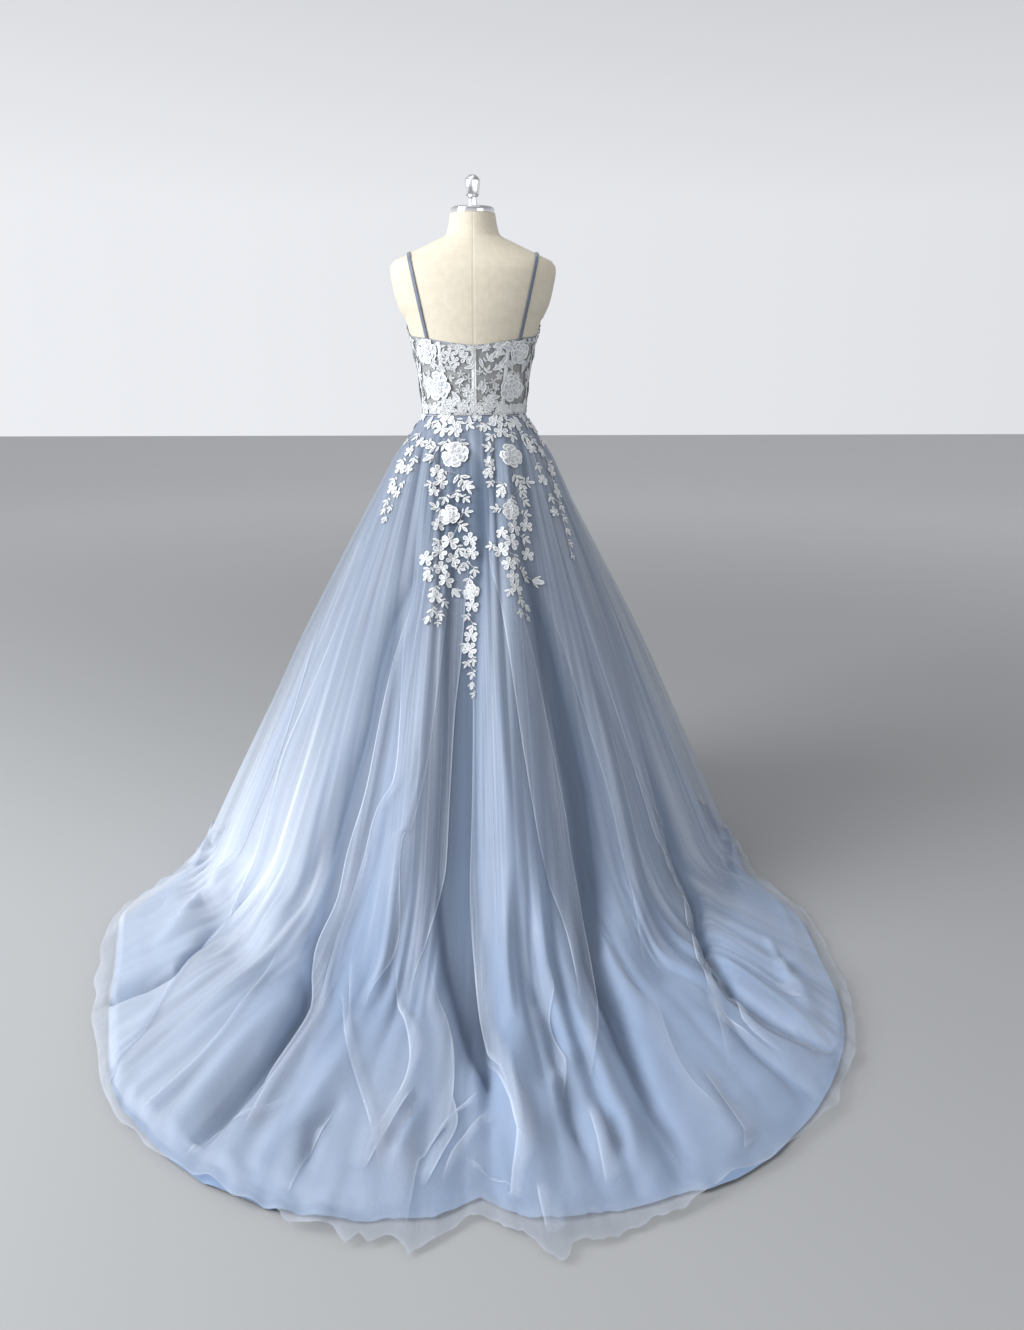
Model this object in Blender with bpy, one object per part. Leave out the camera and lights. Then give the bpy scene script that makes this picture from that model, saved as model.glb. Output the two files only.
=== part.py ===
"""A lace and tulle ball gown with a train, standing on a tailor's dress form.

Metres, +Z up. The origin is the centre of the stand's underside. The gown's front faces -Y, its
train runs out along +Y, and +X is the wearer's left. Azimuths are in degrees from the centre back
(+Y), positive towards the wearer's left.
"""

import bisect
import math

import bmesh
import bpy
import numpy as np
from mathutils import Matrix, Vector, geometry

# Driving sizes
WAIST_Z = 1.070
SEAM_GAP = 0.0003
FORM_GAP = 0.0009
NET_WALL = 0.0010
CASING_WALL = 0.0008
LACE_WALL = 0.0010
LINING_WALL = 0.0015
TULLE_WALL = 0.0010
TULLE_AIR = 0.0060
LINING_HEM = 0.958
UNDERBUST_Z = 1.188

# Distances out from the form's surface at which each bodice layer starts
NET_INNER = FORM_GAP
CASING_INNER = NET_INNER + NET_WALL + SEAM_GAP
LACE_INNER = CASING_INNER + CASING_WALL + SEAM_GAP

# The form's horizontal sections: height, half width, depth to the front, depth to the back
FORM_SECTIONS = (
    (0.760, 0.140, 0.094, 0.096),
    (0.785, 0.157, 0.105, 0.112),
    (0.870, 0.167, 0.110, 0.124),
    (0.950, 0.152, 0.104, 0.112),
    (1.010, 0.131, 0.096, 0.096),
    (1.070, 0.1165, 0.088, 0.084),
    (1.200, 0.1320, 0.104, 0.093),
    (1.250, 0.1460, 0.112, 0.099),
    (1.280, 0.1550, 0.113, 0.103),
    (1.310, 0.1690, 0.111, 0.104),
    (1.350, 0.1790, 0.104, 0.103),
    (1.384, 0.1840, 0.088, 0.098),
    (1.402, 0.1790, 0.074, 0.090),
    (1.415, 0.1540, 0.066, 0.084),
    (1.430, 0.1220, 0.060, 0.076),
    (1.445, 0.0900, 0.055, 0.069),
    (1.460, 0.0610, 0.052, 0.061),
    (1.475, 0.0555, 0.051, 0.055),
    (1.505, 0.0500, 0.049, 0.050),
)
FORM_SIDES = 32
FORM_COLUMNS = [360.0 * k / FORM_SIDES for k in range(-FORM_SIDES // 2, FORM_SIDES + 1)]
FORM_ROWS = [row[0] for row in FORM_SECTIONS]
BUST_OUT, BUST_X, BUST_Z, BUST_WIDE, BUST_TALL = 0.022, 0.076, 1.242, 0.048, 0.055

# The bodice's top edge: azimuth, height
TOP_EDGE = (
    (0, 1.222),
    (30, 1.228),
    (57, 1.237),
    (82, 1.244),
    (96, 1.266),
    (110, 1.290),
    (126, 1.312),
    (140, 1.314),
    (160, 1.288),
    (180, 1.258),
)
BACK_SEAM, SIDE_SEAM, FRONT_SEAM = 42.0, 82.0, 118.0
CASING_HALF = 2.0
SCALLOPS = 4
LACE_SEAM = 86.0
STRAP_BACK, STRAP_FRONT = 57.0, 132.0
STRAP_WIDTH, STRAP_WALL, STRAP_CLEAR, STRAP_SHOULDER_X = 0.008, 0.0014, 0.0016, 0.143

# The skirt's grain lines, from the waist to the hem: azimuth at the waist, azimuth and distance
# from the axis at the hem, how far the cone spreads for each metre it falls, and the radius of
# the bend where the cloth comes down on the floor
GRAIN_LEFT = (
    (0, 0, 1.37, 0.55, 0.42),
    (18, 3.5, 1.42, 0.55, 0.42),
    (39, 8, 1.41, 0.55, 0.42),
    (52, 13, 1.39, 0.54, 0.40),
    (62, 19, 1.35, 0.53, 0.38),
    (70, 29, 1.26, 0.52, 0.34),
    (76, 40, 1.10, 0.51, 0.28),
    (81, 50, 0.99, 0.50, 0.22),
    (86, 62, 0.905, 0.50, 0.16),
    (92, 74, 0.75, 0.48, 0.10),
    (100, 88, 0.68, 0.46, 0.08),
    (115, 106, 0.62, 0.43, 0.06),
    (135, 131, 0.595, 0.40, 0.05),
    (160, 157, 0.575, 0.38, 0.05),
    (180, 180, 0.570, 0.375, 0.05),
)
GRAIN_RIGHT = (
    (0, 0, 1.37, 0.55, 0.42),
    (18, 4, 1.43, 0.55, 0.42),
    (39, 8.5, 1.42, 0.55, 0.42),
    (52, 14, 1.38, 0.53, 0.40),
    (62, 20, 1.34, 0.51, 0.38),
    (70, 29, 1.25, 0.49, 0.34),
    (76, 38, 1.13, 0.47, 0.28),
    (81, 48, 0.97, 0.46, 0.22),
    (86, 58, 0.85, 0.45, 0.16),
    (92, 70, 0.70, 0.44, 0.10),
    (100, 86, 0.65, 0.43, 0.08),
    (115, 106, 0.62, 0.42, 0.06),
    (135, 131, 0.595, 0.40, 0.05),
    (160, 157, 0.575, 0.38, 0.05),
    (180, 180, 0.570, 0.375, 0.05),
)

# The gathered folds: azimuth of the ridge at the waist, half its width there in degrees, and
# its height at the waist, at the knee and at the hem
FOLDS = (
    (9.0, 7.0, 0.0030, 0.030, 0.016),
    (20.5, 5.5, 0.0015, 0.016, 0.026),
    (33.0, 7.0, 0.0012, 0.020, 0.012),
    (46.0, 6.5, 0.0012, 0.028, 0.020),
    (57.0, 5.5, 0.0030, 0.040, 0.014),
    (67.0, 4.0, 0.0030, 0.050, 0.030),
    (72.5, 2.5, 0.0020, 0.024, 0.012),
    (77.5, 2.5, 0.0020, 0.032, 0.024),
    (82.0, 2.5, 0.0020, 0.022, 0.010),
    (87.5, 3.5, 0.0030, 0.020, 0.018),
    (97.0, 6.0, 0.0030, 0.020, 0.016),
    (110.0, 7.0, 0.0030, 0.022, 0.018),
    (125.5, 8.5, 0.0030, 0.024, 0.020),
    (143.0, 9.0, 0.0030, 0.026, 0.020),
    (161.0, 9.0, 0.0030, 0.026, 0.022),
    (180.0, 10.0, 0.0030, 0.026, 0.020),
    (199.0, 9.0, 0.0030, 0.026, 0.022),
    (217.0, 9.0, 0.0030, 0.024, 0.020),
    (234.5, 8.5, 0.0030, 0.024, 0.020),
    (250.0, 7.0, 0.0030, 0.022, 0.018),
    (263.0, 6.0, 0.0030, 0.020, 0.016),
    (272.5, 3.5, 0.0030, 0.020, 0.020),
    (278.5, 2.5, 0.0020, 0.024, 0.012),
    (283.5, 2.5, 0.0020, 0.034, 0.026),
    (288.5, 2.5, 0.0020, 0.022, 0.012),
    (295.0, 4.0, 0.0030, 0.042, 0.022),
    (304.5, 5.5, 0.0030, 0.040, 0.020),
    (316.0, 6.0, 0.0012, 0.026, 0.014),
    (328.5, 6.5, 0.0012, 0.022, 0.026),
    (340.0, 5.0, 0.0015, 0.018, 0.014),
    (350.5, 5.5, 0.0030, 0.034, 0.022),
)
CREST_SHARE = 0.38
FRONT_FOLDS = range(11, 20)
KNEE_SHARE = 0.45
LINING_FOLD_SHARE = 0.45

# Rows down the skirt: 0 is the waist, 1 the start and 2 the end of the bend onto the floor, 3 the
# lining's hem and 4 the tulle's hem
TULLE_ROWS = (0.0, 0.06, 0.20, 0.40, 0.60, 0.80, 1.0, 1.5, 2.0, 2.5, 3.15, 3.6, 4.0)
LINING_ROWS = (0.0, 0.06, 0.20, 0.60, 1.0, 1.5, 2.0, 2.5, 3.0)
TULLE_DROPS = (3.15, 3.6)

# Seams of the skirt: the folds whose left valleys the seams lie in
SKIRT_PANELS = (
    ("back_left", 0, 6),
    ("side_left", 6, 12),
    ("front", 12, 19),
    ("side_right", 19, 25),
    ("back_right", 25, 31),
)

# Gaps in the back lace: distance from the centre back, height above the waist, half width,
# half height, tilt in degrees
LACE_GAPS_BACK_LEFT = (
    (0.0460, 0.1440, 0.0050, 0.0038, 10),
    (0.0960, 0.1020, 0.0080, 0.0120, -25),
    (0.0800, 0.1250, 0.0035, 0.0090, -20),
    (0.0600, 0.1000, 0.0050, 0.0055, 0),
    (0.0386, 0.0990, 0.0100, 0.0065, 15),
    (0.0360, 0.0770, 0.0120, 0.0085, -10),
    (0.0110, 0.0740, 0.0038, 0.0090, 0),
    (0.1120, 0.0740, 0.0045, 0.0090, 0),
    (0.0860, 0.0170, 0.0100, 0.0055, 0),
    (0.0410, 0.0330, 0.0080, 0.0095, -25),
    (0.0145, 0.0240, 0.0045, 0.0042, 0),
    (0.0120, 0.1220, 0.0035, 0.0060, 0),
)
LACE_GAPS_BACK_RIGHT = (
    (0.0160, 0.1000, 0.0050, 0.0110, 0),
    (0.0340, 0.1290, 0.0055, 0.0050, 0),
    (0.0540, 0.1180, 0.0080, 0.0055, -15),
    (0.0670, 0.0980, 0.0048, 0.0120, 25),
    (0.0170, 0.0700, 0.0062, 0.0090, 0),
    (0.0416, 0.0650, 0.0100, 0.0090, 0),
    (0.0240, 0.0430, 0.0070, 0.0065, 0),
    (0.0480, 0.0270, 0.0065, 0.0045, 0),
    (0.0790, 0.0150, 0.0110, 0.0065, 10),
    (0.0990, 0.0970, 0.0110, 0.0065, -10),
    (0.1100, 0.0600, 0.0040, 0.0120, 0),
    (0.0960, 0.0360, 0.0045, 0.0060, 0),
)
# Gaps in the front lace, the same on both sides: azimuth from the centre back, height above
# the waist, half width, half height, tilt in degrees
LACE_GAPS_FRONT = (
    (95.0, 0.0260, 0.0080, 0.0070, 0),
    (98.0, 0.0700, 0.0075, 0.0100, 15),
    (95.0, 0.1150, 0.0070, 0.0090, -15),
    (111.0, 0.0920, 0.0075, 0.0080, 0),
    (114.0, 0.1300, 0.0060, 0.0090, -20),
    (132.0, 0.0350, 0.0080, 0.0075, 20),
    (141.0, 0.0800, 0.0075, 0.0075, -15),
    (152.0, 0.0150, 0.0075, 0.0055, 0),
    (160.0, 0.0830, 0.0070, 0.0070, 15),
    (171.0, 0.0180, 0.0060, 0.0055, 0),
)

# Appliques on the skirt, widest and narrowest places down the cloth from the waist:
# distance down, reach to the wearer's left, reach to the wearer's right
LONG_VINE = (
    (0.004, 0.024, 0.026),
    (0.030, 0.022, 0.030),
    (0.052, 0.008, 0.012),
    (0.078, 0.022, 0.026),
    (0.110, 0.018, 0.030),
    (0.132, 0.026, 0.008),
    (0.160, 0.010, 0.024),
    (0.184, 0.026, 0.010),
    (0.215, 0.012, 0.022),
    (0.240, 0.012, 0.026),
    (0.268, 0.008, 0.010),
    (0.292, 0.022, 0.008),
    (0.320, 0.026, 0.014),
    (0.345, 0.006, 0.022),
    (0.372, 0.016, 0.008),
    (0.400, 0.006, 0.018),
    (0.425, 0.006, 0.006),
    (0.455, 0.010, 0.003),
)
SHORT_VINE = (
    (0.004, 0.022, 0.024),
    (0.034, 0.020, 0.026),
    (0.056, 0.009, 0.012),
    (0.084, 0.024, 0.018),
    (0.112, 0.010, 0.022),
    (0.140, 0.022, 0.008),
    (0.170, 0.008, 0.020),
    (0.198, 0.018, 0.010),
    (0.228, 0.012, 0.018),
    (0.256, 0.016, 0.006),
    (0.286, 0.005, 0.012),
    (0.320, 0.006, 0.003),
)
# The vine that lies deep in the centre-back pleat, lower down
CENTRE_VINE = (
    (0.300, 0.010, 0.008),
    (0.330, 0.012, 0.012),
    (0.362, 0.006, 0.008),
    (0.395, 0.014, 0.010),
    (0.430, 0.008, 0.013),
    (0.465, 0.013, 0.009),
    (0.500, 0.010, 0.008),
    (0.540, 0.004, 0.005),
    (0.580, 0.003, 0.003),
)
# Azimuth at the waist of each vine's stem, and its table
VINES = (
    ("applique_back_left", 40.0, LONG_VINE),
    ("applique_back_right", -40.0, LONG_VINE),
    ("applique_side_left", 77.0, SHORT_VINE),
    ("applique_side_right", -77.0, SHORT_VINE),
    ("applique_front_left", 149.0, SHORT_VINE),
    ("applique_front_right", -149.0, SHORT_VINE),
    ("applique_centre_back", 0.6, CENTRE_VINE),
)
VINE_GAP = 0.0007

# The stand under the form
POLE_RADIUS, BASE_RADIUS, BASE_EDGE, BASE_HUB = 0.0125, 0.165, 0.010, 0.030
HUB_RADIUS, HUB_TOP = 0.030, 0.060

# Neck fittings as turned profiles: height above the neck's top, radius
PLATE_PROFILE = ((0.0003, 0.0490), (0.0110, 0.0490), (0.0140, 0.0465))
KNOB_PROFILE = (
    (0.0143, 0.0105),
    (0.0345, 0.0100),
    (0.0360, 0.0138),
    (0.0400, 0.0150),
    (0.0660, 0.0180),
    (0.0740, 0.0170),
    (0.0795, 0.0105),
    (0.0815, 0.0040),
)

# The zip, and its pull tab in the slider's own directions
ZIP_TAPE_WIDTH, ZIP_TOP_Z = 0.0052, 1.2185
SLIDER_Z, SLIDER_HALF = 1.2110, 0.0044
SLIDER_WIDTH, SLIDER_THICK = 0.0050, 0.0020
BAIL_WIDTH, BAIL_HALF, BAIL_WIRE, BAIL_ROOM = 0.0014, 0.0034, 0.0008, 0.0019
PULL_THICK = 0.0009
# Outer and inner outline of the pull tab: half width and distance below the hinge's axis
PULL_OUTER = ((0.0021, -0.00045), (0.0021, 0.0050), (0.0018, 0.0100), (0.0028, 0.0170), (0.0019, 0.0215))
PULL_INNER = ((0.0011, 0.00045), (0.0011, 0.0020), (0.0011, 0.0034), (0.0010, 0.0042), (0.0006, 0.0046))

COLOURS = {
    "net": ((0.42, 0.47, 0.56), 0.75, 0.0),
    "lace": ((0.86, 0.87, 0.86), 0.70, 0.0),
    "casing": ((0.84, 0.84, 0.80), 0.65, 0.0),
    "satin": ((0.36, 0.46, 0.62), 0.45, 0.0),
    "tulle": ((0.55, 0.64, 0.78), 0.60, 0.0),
    "strap": ((0.33, 0.38, 0.47), 0.50, 0.0),
    "linen": ((0.76, 0.70, 0.59), 0.80, 0.0),
    "chrome": ((0.80, 0.80, 0.81), 0.08, 1.0),
    "stand": ((0.05, 0.05, 0.05), 0.45, 0.0),
    "zip_tape": ((0.80, 0.79, 0.74), 0.60, 0.0),
    "zip_metal": ((0.80, 0.80, 0.78), 0.35, 0.6),
}


def smooth_step(x):
    x = min(1.0, max(0.0, x))
    return x * x * (3 - 2 * x)


def along(table, x, column):
    """A table's column at x, on a curve that passes through its rows without overshooting."""
    xs = [row[0] for row in table]
    ys = [row[column] for row in table]
    if x <= xs[0]:
        return ys[0]
    if x >= xs[-1]:
        return ys[-1]
    slopes = [(ys[i + 1] - ys[i]) / (xs[i + 1] - xs[i]) for i in range(len(xs) - 1)]
    tangents = [slopes[0]]
    for before, after in zip(slopes, slopes[1:]):
        same_way = before * after > 0
        tangents.append(2 * before * after / (before + after) if same_way else 0.0)
    tangents.append(slopes[-1])
    i = max(k for k in range(len(xs) - 1) if xs[k] <= x)
    step = xs[i + 1] - xs[i]
    t = (x - xs[i]) / step
    return (
        ys[i] * (1 + 2 * t) * (1 - t) ** 2
        + step * tangents[i] * t * (1 - t) ** 2
        + ys[i + 1] * t * t * (3 - 2 * t)
        + step * tangents[i + 1] * t * t * (t - 1)
    )


def signed(azimuth):
    """An azimuth between -180 and 180 degrees."""
    return (azimuth + 180.0) % 360.0 - 180.0


# The dress form's surface


def section(z):
    heights = [row[0] for row in FORM_SECTIONS]
    return [float(np.interp(z, heights, [row[k] for row in FORM_SECTIONS])) for k in (1, 2, 3)]


def form_radius(azimuth, z):
    """Distance from the axis to the form's surface."""
    half_width, front, back = section(z)
    across, ahead = math.sin(math.radians(azimuth)), math.cos(math.radians(azimuth))
    depth = back if ahead >= 0 else front
    radius = 1 / math.hypot(across / half_width, ahead / depth)
    x = abs(radius * across)
    bust = math.exp(-(((x - BUST_X) / BUST_WIDE) ** 2) - ((z - BUST_Z) / BUST_TALL) ** 2)
    return radius + BUST_OUT * bust * math.sqrt(max(0.0, -ahead))


def round_point(azimuth, z, out=0.0):
    """A point out from the form's smooth surface."""
    radius = form_radius(azimuth, z) + out
    turn = math.radians(azimuth)
    return Vector((radius * math.sin(turn), radius * math.cos(turn), z))


def on_facets(corner, columns, rows, u, v):
    """The point at (u, v) on flat triangles between the corners of a grid."""
    i = min(max(0, bisect.bisect_right(columns, u + 1e-9) - 1), len(columns) - 2)
    j = min(max(0, bisect.bisect_right(rows, v + 1e-9) - 1), len(rows) - 2)
    a = (u - columns[i]) / (columns[i + 1] - columns[i])
    b = (v - rows[j]) / (rows[j + 1] - rows[j])
    first, last = corner(columns[i], rows[j]), corner(columns[i + 1], rows[j + 1])
    if a >= b:
        return first * (1 - a) + corner(columns[i + 1], rows[j]) * (a - b) + last * b
    return first * (1 - b) + corner(columns[i], rows[j + 1]) * (b - a) + last * a


def form_point(azimuth, z, out=0.0):
    """A point out from the form's flat facets."""
    return on_facets(lambda u, v: round_point(u, v, out), FORM_COLUMNS, FORM_ROWS, azimuth, z)


def form_normal(azimuth, z):
    small_turn, small_rise = 0.5, 0.002
    sideways = round_point(azimuth + small_turn, z) - round_point(azimuth - small_turn, z)
    upwards = round_point(azimuth, z + small_rise) - round_point(azimuth, z - small_rise)
    return upwards.cross(sideways).normalized()


def azimuth_at(x, z):
    """The azimuth of the point on the form's back that is x to the wearer's left."""
    half_width, _, back = section(z)
    return math.degrees(math.atan2(x, back * math.sqrt(max(0.0, 1 - (x / half_width) ** 2))))


def top_edge(azimuth):
    return along(TOP_EDGE, abs(signed(azimuth)), 1)


# The skirt's surface


def grain(azimuth):
    """Hem azimuth, hem distance, spread and knee radius of the grain line from this waist azimuth."""
    azimuth = signed(azimuth)
    table = GRAIN_LEFT if azimuth >= 0 else GRAIN_RIGHT
    hem, distance, spread, knee = (along(table, abs(azimuth), k) for k in (1, 2, 3, 4))
    return math.copysign(hem, azimuth), distance, spread, knee


def fold_height(azimuth, share):
    """How far the gathered folds lift the cloth at this grain line and share of the way down."""
    for centre, half, waist, knee, hem in FOLDS:
        offset = abs(signed(azimuth - centre)) / half
        if offset < 1:
            bump = math.cos(offset * math.pi / 2) ** 2
            if share < KNEE_SHARE:
                height = waist + (knee - waist) * smooth_step(share / KNEE_SHARE)
            else:
                height = knee + (hem - knee) * smooth_step((share - KNEE_SHARE) / (1 - KNEE_SHARE))
            return bump * height
    return 0.0


def skirt_point(azimuth, row, out, folds):
    """A point on the skirt: out from the base surface, with that share of the folds."""
    hem_azimuth, hem_distance, spread, knee = grain(azimuth)
    turn, hem_turn = math.radians(azimuth), math.radians(hem_azimuth)
    waist_radius = form_radius(azimuth, WAIST_Z)
    start = Vector((waist_radius * math.sin(turn), waist_radius * math.cos(turn)))
    end = Vector((hem_distance * math.sin(hem_turn), hem_distance * math.cos(hem_turn)))
    reach = (end - start).length
    heading = (end - start) / reach
    slope = math.atan(spread)
    bend_start = (WAIST_Z - knee * (1 - math.sin(slope))) * spread
    bend_end = bend_start + knee * math.cos(slope)
    marks = (0.0, bend_start, bend_end, LINING_HEM * reach, reach)
    gone = float(np.interp(row, range(5), marks))
    share = gone / reach
    if gone < bend_start:
        height, outward, upward = WAIST_Z - gone / spread, math.cos(slope), math.sin(slope)
    elif gone < bend_end:
        height = knee - math.sqrt(knee**2 - (bend_end - gone) ** 2)
        outward, upward = (bend_end - gone) / knee, (knee - height) / knee
    else:
        height, outward, upward = 0.0, 0.0, 1.0
    settled = smooth_step(share / 0.05)
    outward, upward = outward + (1 - outward) * (1 - settled), upward * settled
    lift = (out + folds * fold_height(azimuth, share)) / math.hypot(outward, upward)
    flat = start + heading * (gone + lift * outward)
    return Vector((flat.x, flat.y, height + lift * upward))


def lining_point(azimuth, row, side):
    out = FORM_GAP * (1 - smooth_step(row / 0.16)) + side * LINING_WALL
    return skirt_point(azimuth, row, out, LINING_FOLD_SHARE)


def tulle_out(row):
    """Distance of the tulle's inner face from the base surface, folds left out."""
    at_waist = FORM_GAP + LINING_WALL + SEAM_GAP
    over_lining = at_waist + (LINING_WALL + TULLE_AIR - at_waist) * smooth_step(row / 0.3)
    dropped = smooth_step((row - TULLE_DROPS[0]) / (TULLE_DROPS[1] - TULLE_DROPS[0]))
    return over_lining * (1 - dropped)


def tulle_point(azimuth, row, side):
    return skirt_point(azimuth, row, tulle_out(row) + side * TULLE_WALL, 1.0)


# Making the objects


def material(name):
    """The material of that name, made once."""
    found = bpy.data.materials.get(name)
    if found:
        return found
    colour, roughness, metallic = COLOURS[name]
    made = bpy.data.materials.new(name)
    made.use_nodes = True
    made.diffuse_color = (*colour, 1.0)
    shader = made.node_tree.nodes["Principled BSDF"]
    shader.inputs["Base Color"].default_value = (*colour, 1.0)
    shader.inputs["Roughness"].default_value = roughness
    shader.inputs["Metallic"].default_value = metallic
    return made


def object_from(name, bm, finish, smooth=True):
    """An object from a bmesh, its faces turned outwards."""
    bmesh.ops.recalc_face_normals(bm, faces=bm.faces)
    mesh = bpy.data.meshes.new(name)
    bm.to_mesh(mesh)
    bm.free()
    if smooth:
        mesh.shade_smooth()
        mesh.set_sharp_from_angle(angle=math.radians(40))
    made = bpy.data.objects.new(name, mesh)
    made.data.materials.append(material(finish))
    bpy.context.scene.collection.objects.link(made)
    return made


def wall(name, places, triangles, place, finish):
    """A cloth wall. Each flat place (u, v) becomes an inner and an outer point, place(u, v, side)."""
    bm = bmesh.new()
    inner = [bm.verts.new(place(u, v, 0)) for u, v in places]
    outer = [bm.verts.new(place(u, v, 1)) for u, v in places]
    rim = {}
    for a, b, c in triangles:
        bm.faces.new((inner[a], inner[b], inner[c]))
        bm.faces.new((outer[c], outer[b], outer[a]))
        for start, end in ((a, b), (b, c), (c, a)):
            if (end, start) in rim:
                del rim[(end, start)]
            else:
                rim[(start, end)] = True
    for start, end in rim:
        bm.faces.new((inner[end], inner[start], outer[start], outer[end]))
    return object_from(name, bm, finish)


def grid(columns, rows):
    """Places and triangles of a grid, each cell cut from its first corner to its last."""
    places = [(u, v) for v in rows for u in columns]
    triangles = []
    wide = len(columns)
    for j in range(len(rows) - 1):
        for i in range(wide - 1):
            corner = j * wide + i
            triangles.append((corner, corner + 1, corner + wide + 1))
            triangles.append((corner, corner + wide + 1, corner + wide))
    return places, triangles


def spread_evenly(start, end, most_step):
    steps = max(1, math.ceil(abs(end - start) / most_step - 1e-6))
    return [start + (end - start) * k / steps for k in range(steps + 1)]


def inside(point, outline):
    """Whether a flat point lies inside a closed outline."""
    x, y = point
    found = False
    for (ax, ay), (bx, by) in zip(outline, outline[1:] + outline[:1]):
        if (ay > y) != (by > y) and x < ax + (y - ay) * (bx - ax) / (by - ay):
            found = not found
    return found


def cut_out(outline, holes, columns, rows):
    """Places and triangles of a flat outline with holes, also cut along a grid and its diagonals."""
    points, edges = [], []
    for loop in (outline, *holes):
        first = len(points)
        points += loop
        edges += [(first + k, first + (k + 1) % len(loop)) for k in range(len(loop))]
    low, high = min(u for u, _ in outline), max(u for u, _ in outline)
    bottom, top = min(v for _, v in outline), max(v for _, v in outline)
    first = bisect.bisect_left(columns, low) - 1
    columns = columns[max(0, first):bisect.bisect_right(columns, high) + 1]
    first = bisect.bisect_left(rows, bottom) - 1
    rows = rows[max(0, first):bisect.bisect_right(rows, top) + 1]
    corner = len(points)
    wide = len(columns)
    points += [(u, v) for v in rows for u in columns]
    for j in range(len(rows)):
        for i in range(wide):
            here = corner + j * wide + i
            if i + 1 < wide:
                edges.append((here, here + 1))
            if j + 1 < len(rows):
                edges.append((here, here + wide))
            if i + 1 < wide and j + 1 < len(rows):
                edges.append((here, here + wide + 1))
    made = geometry.delaunay_2d_cdt([Vector(p) for p in points], edges, [], 0, 1e-6)
    places = [tuple(p) for p in made[0]]
    kept = []
    for corners in made[2]:
        centre = tuple(sum(places[k][axis] for k in corners) / 3 for axis in (0, 1))
        if inside(centre, outline) and not any(inside(centre, hole) for hole in holes):
            kept.append(tuple(corners))
    used = sorted({k for corners in kept for k in corners})
    index = {old: new for new, old in enumerate(used)}
    return [places[k] for k in used], [tuple(index[k] for k in corners) for corners in kept]


# The dress form and its stand


def turned(name, profile, sides, finish, base=0.0):
    """A solid turned about the Z axis from a profile of (height, radius), with flat ends."""
    bm = bmesh.new()
    rings = []
    for height, radius in profile:
        ring = []
        for k in range(sides):
            turn = 2 * math.pi * k / sides
            ring.append(bm.verts.new((radius * math.sin(turn), radius * math.cos(turn), base + height)))
        rings.append(ring)
    close_rings(bm, rings)
    return object_from(name, bm, finish)


def close_rings(bm, rings):
    """Faces between rings of points, and across the first and the last ring."""
    for lower, upper in zip(rings, rings[1:]):
        for k in range(len(lower)):
            after = (k + 1) % len(lower)
            bm.faces.new((lower[k], lower[after], upper[after]))
            bm.faces.new((lower[k], upper[after], upper[k]))
    bm.faces.new(rings[0])
    bm.faces.new(rings[-1])


def make_form():
    bm = bmesh.new()
    rings = []
    for row in FORM_SECTIONS:
        azimuths = [360 * k / FORM_SIDES for k in range(FORM_SIDES)]
        rings.append([bm.verts.new(form_point(azimuth, row[0])) for azimuth in azimuths])
    close_rings(bm, rings)
    object_from("form_body", bm, "linen")
    neck_top, hips = FORM_SECTIONS[-1][0], FORM_SECTIONS[0][0]
    turned("neck_plate", PLATE_PROFILE, 28, "chrome", neck_top)
    turned("neck_knob", KNOB_PROFILE, 16, "chrome", neck_top)
    base = ((0.0, BASE_RADIUS), (BASE_EDGE, BASE_RADIUS), (BASE_HUB, HUB_RADIUS), (HUB_TOP, HUB_RADIUS))
    turned("stand_base", base, 32, "stand")
    pole = ((HUB_TOP + SEAM_GAP, POLE_RADIUS), (hips - SEAM_GAP, POLE_RADIUS))
    turned("stand_pole", pole, 16, "stand")


# The bodice


def bodice_panel(name, start, end, low, high, inner, thick, finish, holes=()):
    """A wall on the form's facets between two azimuths and two edges, with holes cut out."""
    columns = spread_evenly(start, end, 10.0)
    outline = [(u, low(u)) for u in columns] + [(u, high(u)) for u in columns[::-1]]

    def place(azimuth, z, side):
        return form_point(azimuth, z, inner + side * thick)

    places, triangles = cut_out(outline, holes, FORM_COLUMNS, FORM_ROWS)
    return wall(name, places, triangles, place, finish)


def make_bodice():
    seam = math.degrees(SEAM_GAP / 2 / 0.11)

    def waist(_):
        return WAIST_Z + SEAM_GAP

    def under_bust(_):
        return UNDERBUST_Z - SEAM_GAP / 2

    def over_bust(_):
        return UNDERBUST_Z + SEAM_GAP / 2

    spans = (
        ("bodice_back", 0.0, BACK_SEAM, waist, top_edge),
        ("bodice_side_back", BACK_SEAM, SIDE_SEAM, waist, top_edge),
        ("bodice_side_front", SIDE_SEAM, FRONT_SEAM, waist, top_edge),
        ("cup", FRONT_SEAM, 180.0, over_bust, top_edge),
    )
    for name, start, end, low, high in spans:
        for side_name, way in (("left", 1), ("right", -1)):
            first, last = sorted((way * (start + seam), way * (end - seam)))
            bodice_panel(f"{name}_{side_name}", first, last, low, high, NET_INNER, NET_WALL, "net")
    first, last = FRONT_SEAM + seam, 360 - FRONT_SEAM - seam
    bodice_panel("bodice_front", first, last, waist, under_bust, NET_INNER, NET_WALL, "net")


def make_casings():
    def waist(_):
        return WAIST_Z + 0.002

    def below_top(azimuth):
        return top_edge(azimuth) - 0.004

    for name, azimuth in (("back", BACK_SEAM), ("side", SIDE_SEAM), ("front", FRONT_SEAM)):
        for side_name, way in (("left", 1), ("right", -1)):
            ends = sorted((way * (azimuth - CASING_HALF), way * (azimuth + CASING_HALF)))
            casing = f"bone_casing_{name}_{side_name}"
            bodice_panel(casing, *ends, waist, below_top, CASING_INNER, CASING_WALL, "casing")


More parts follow.
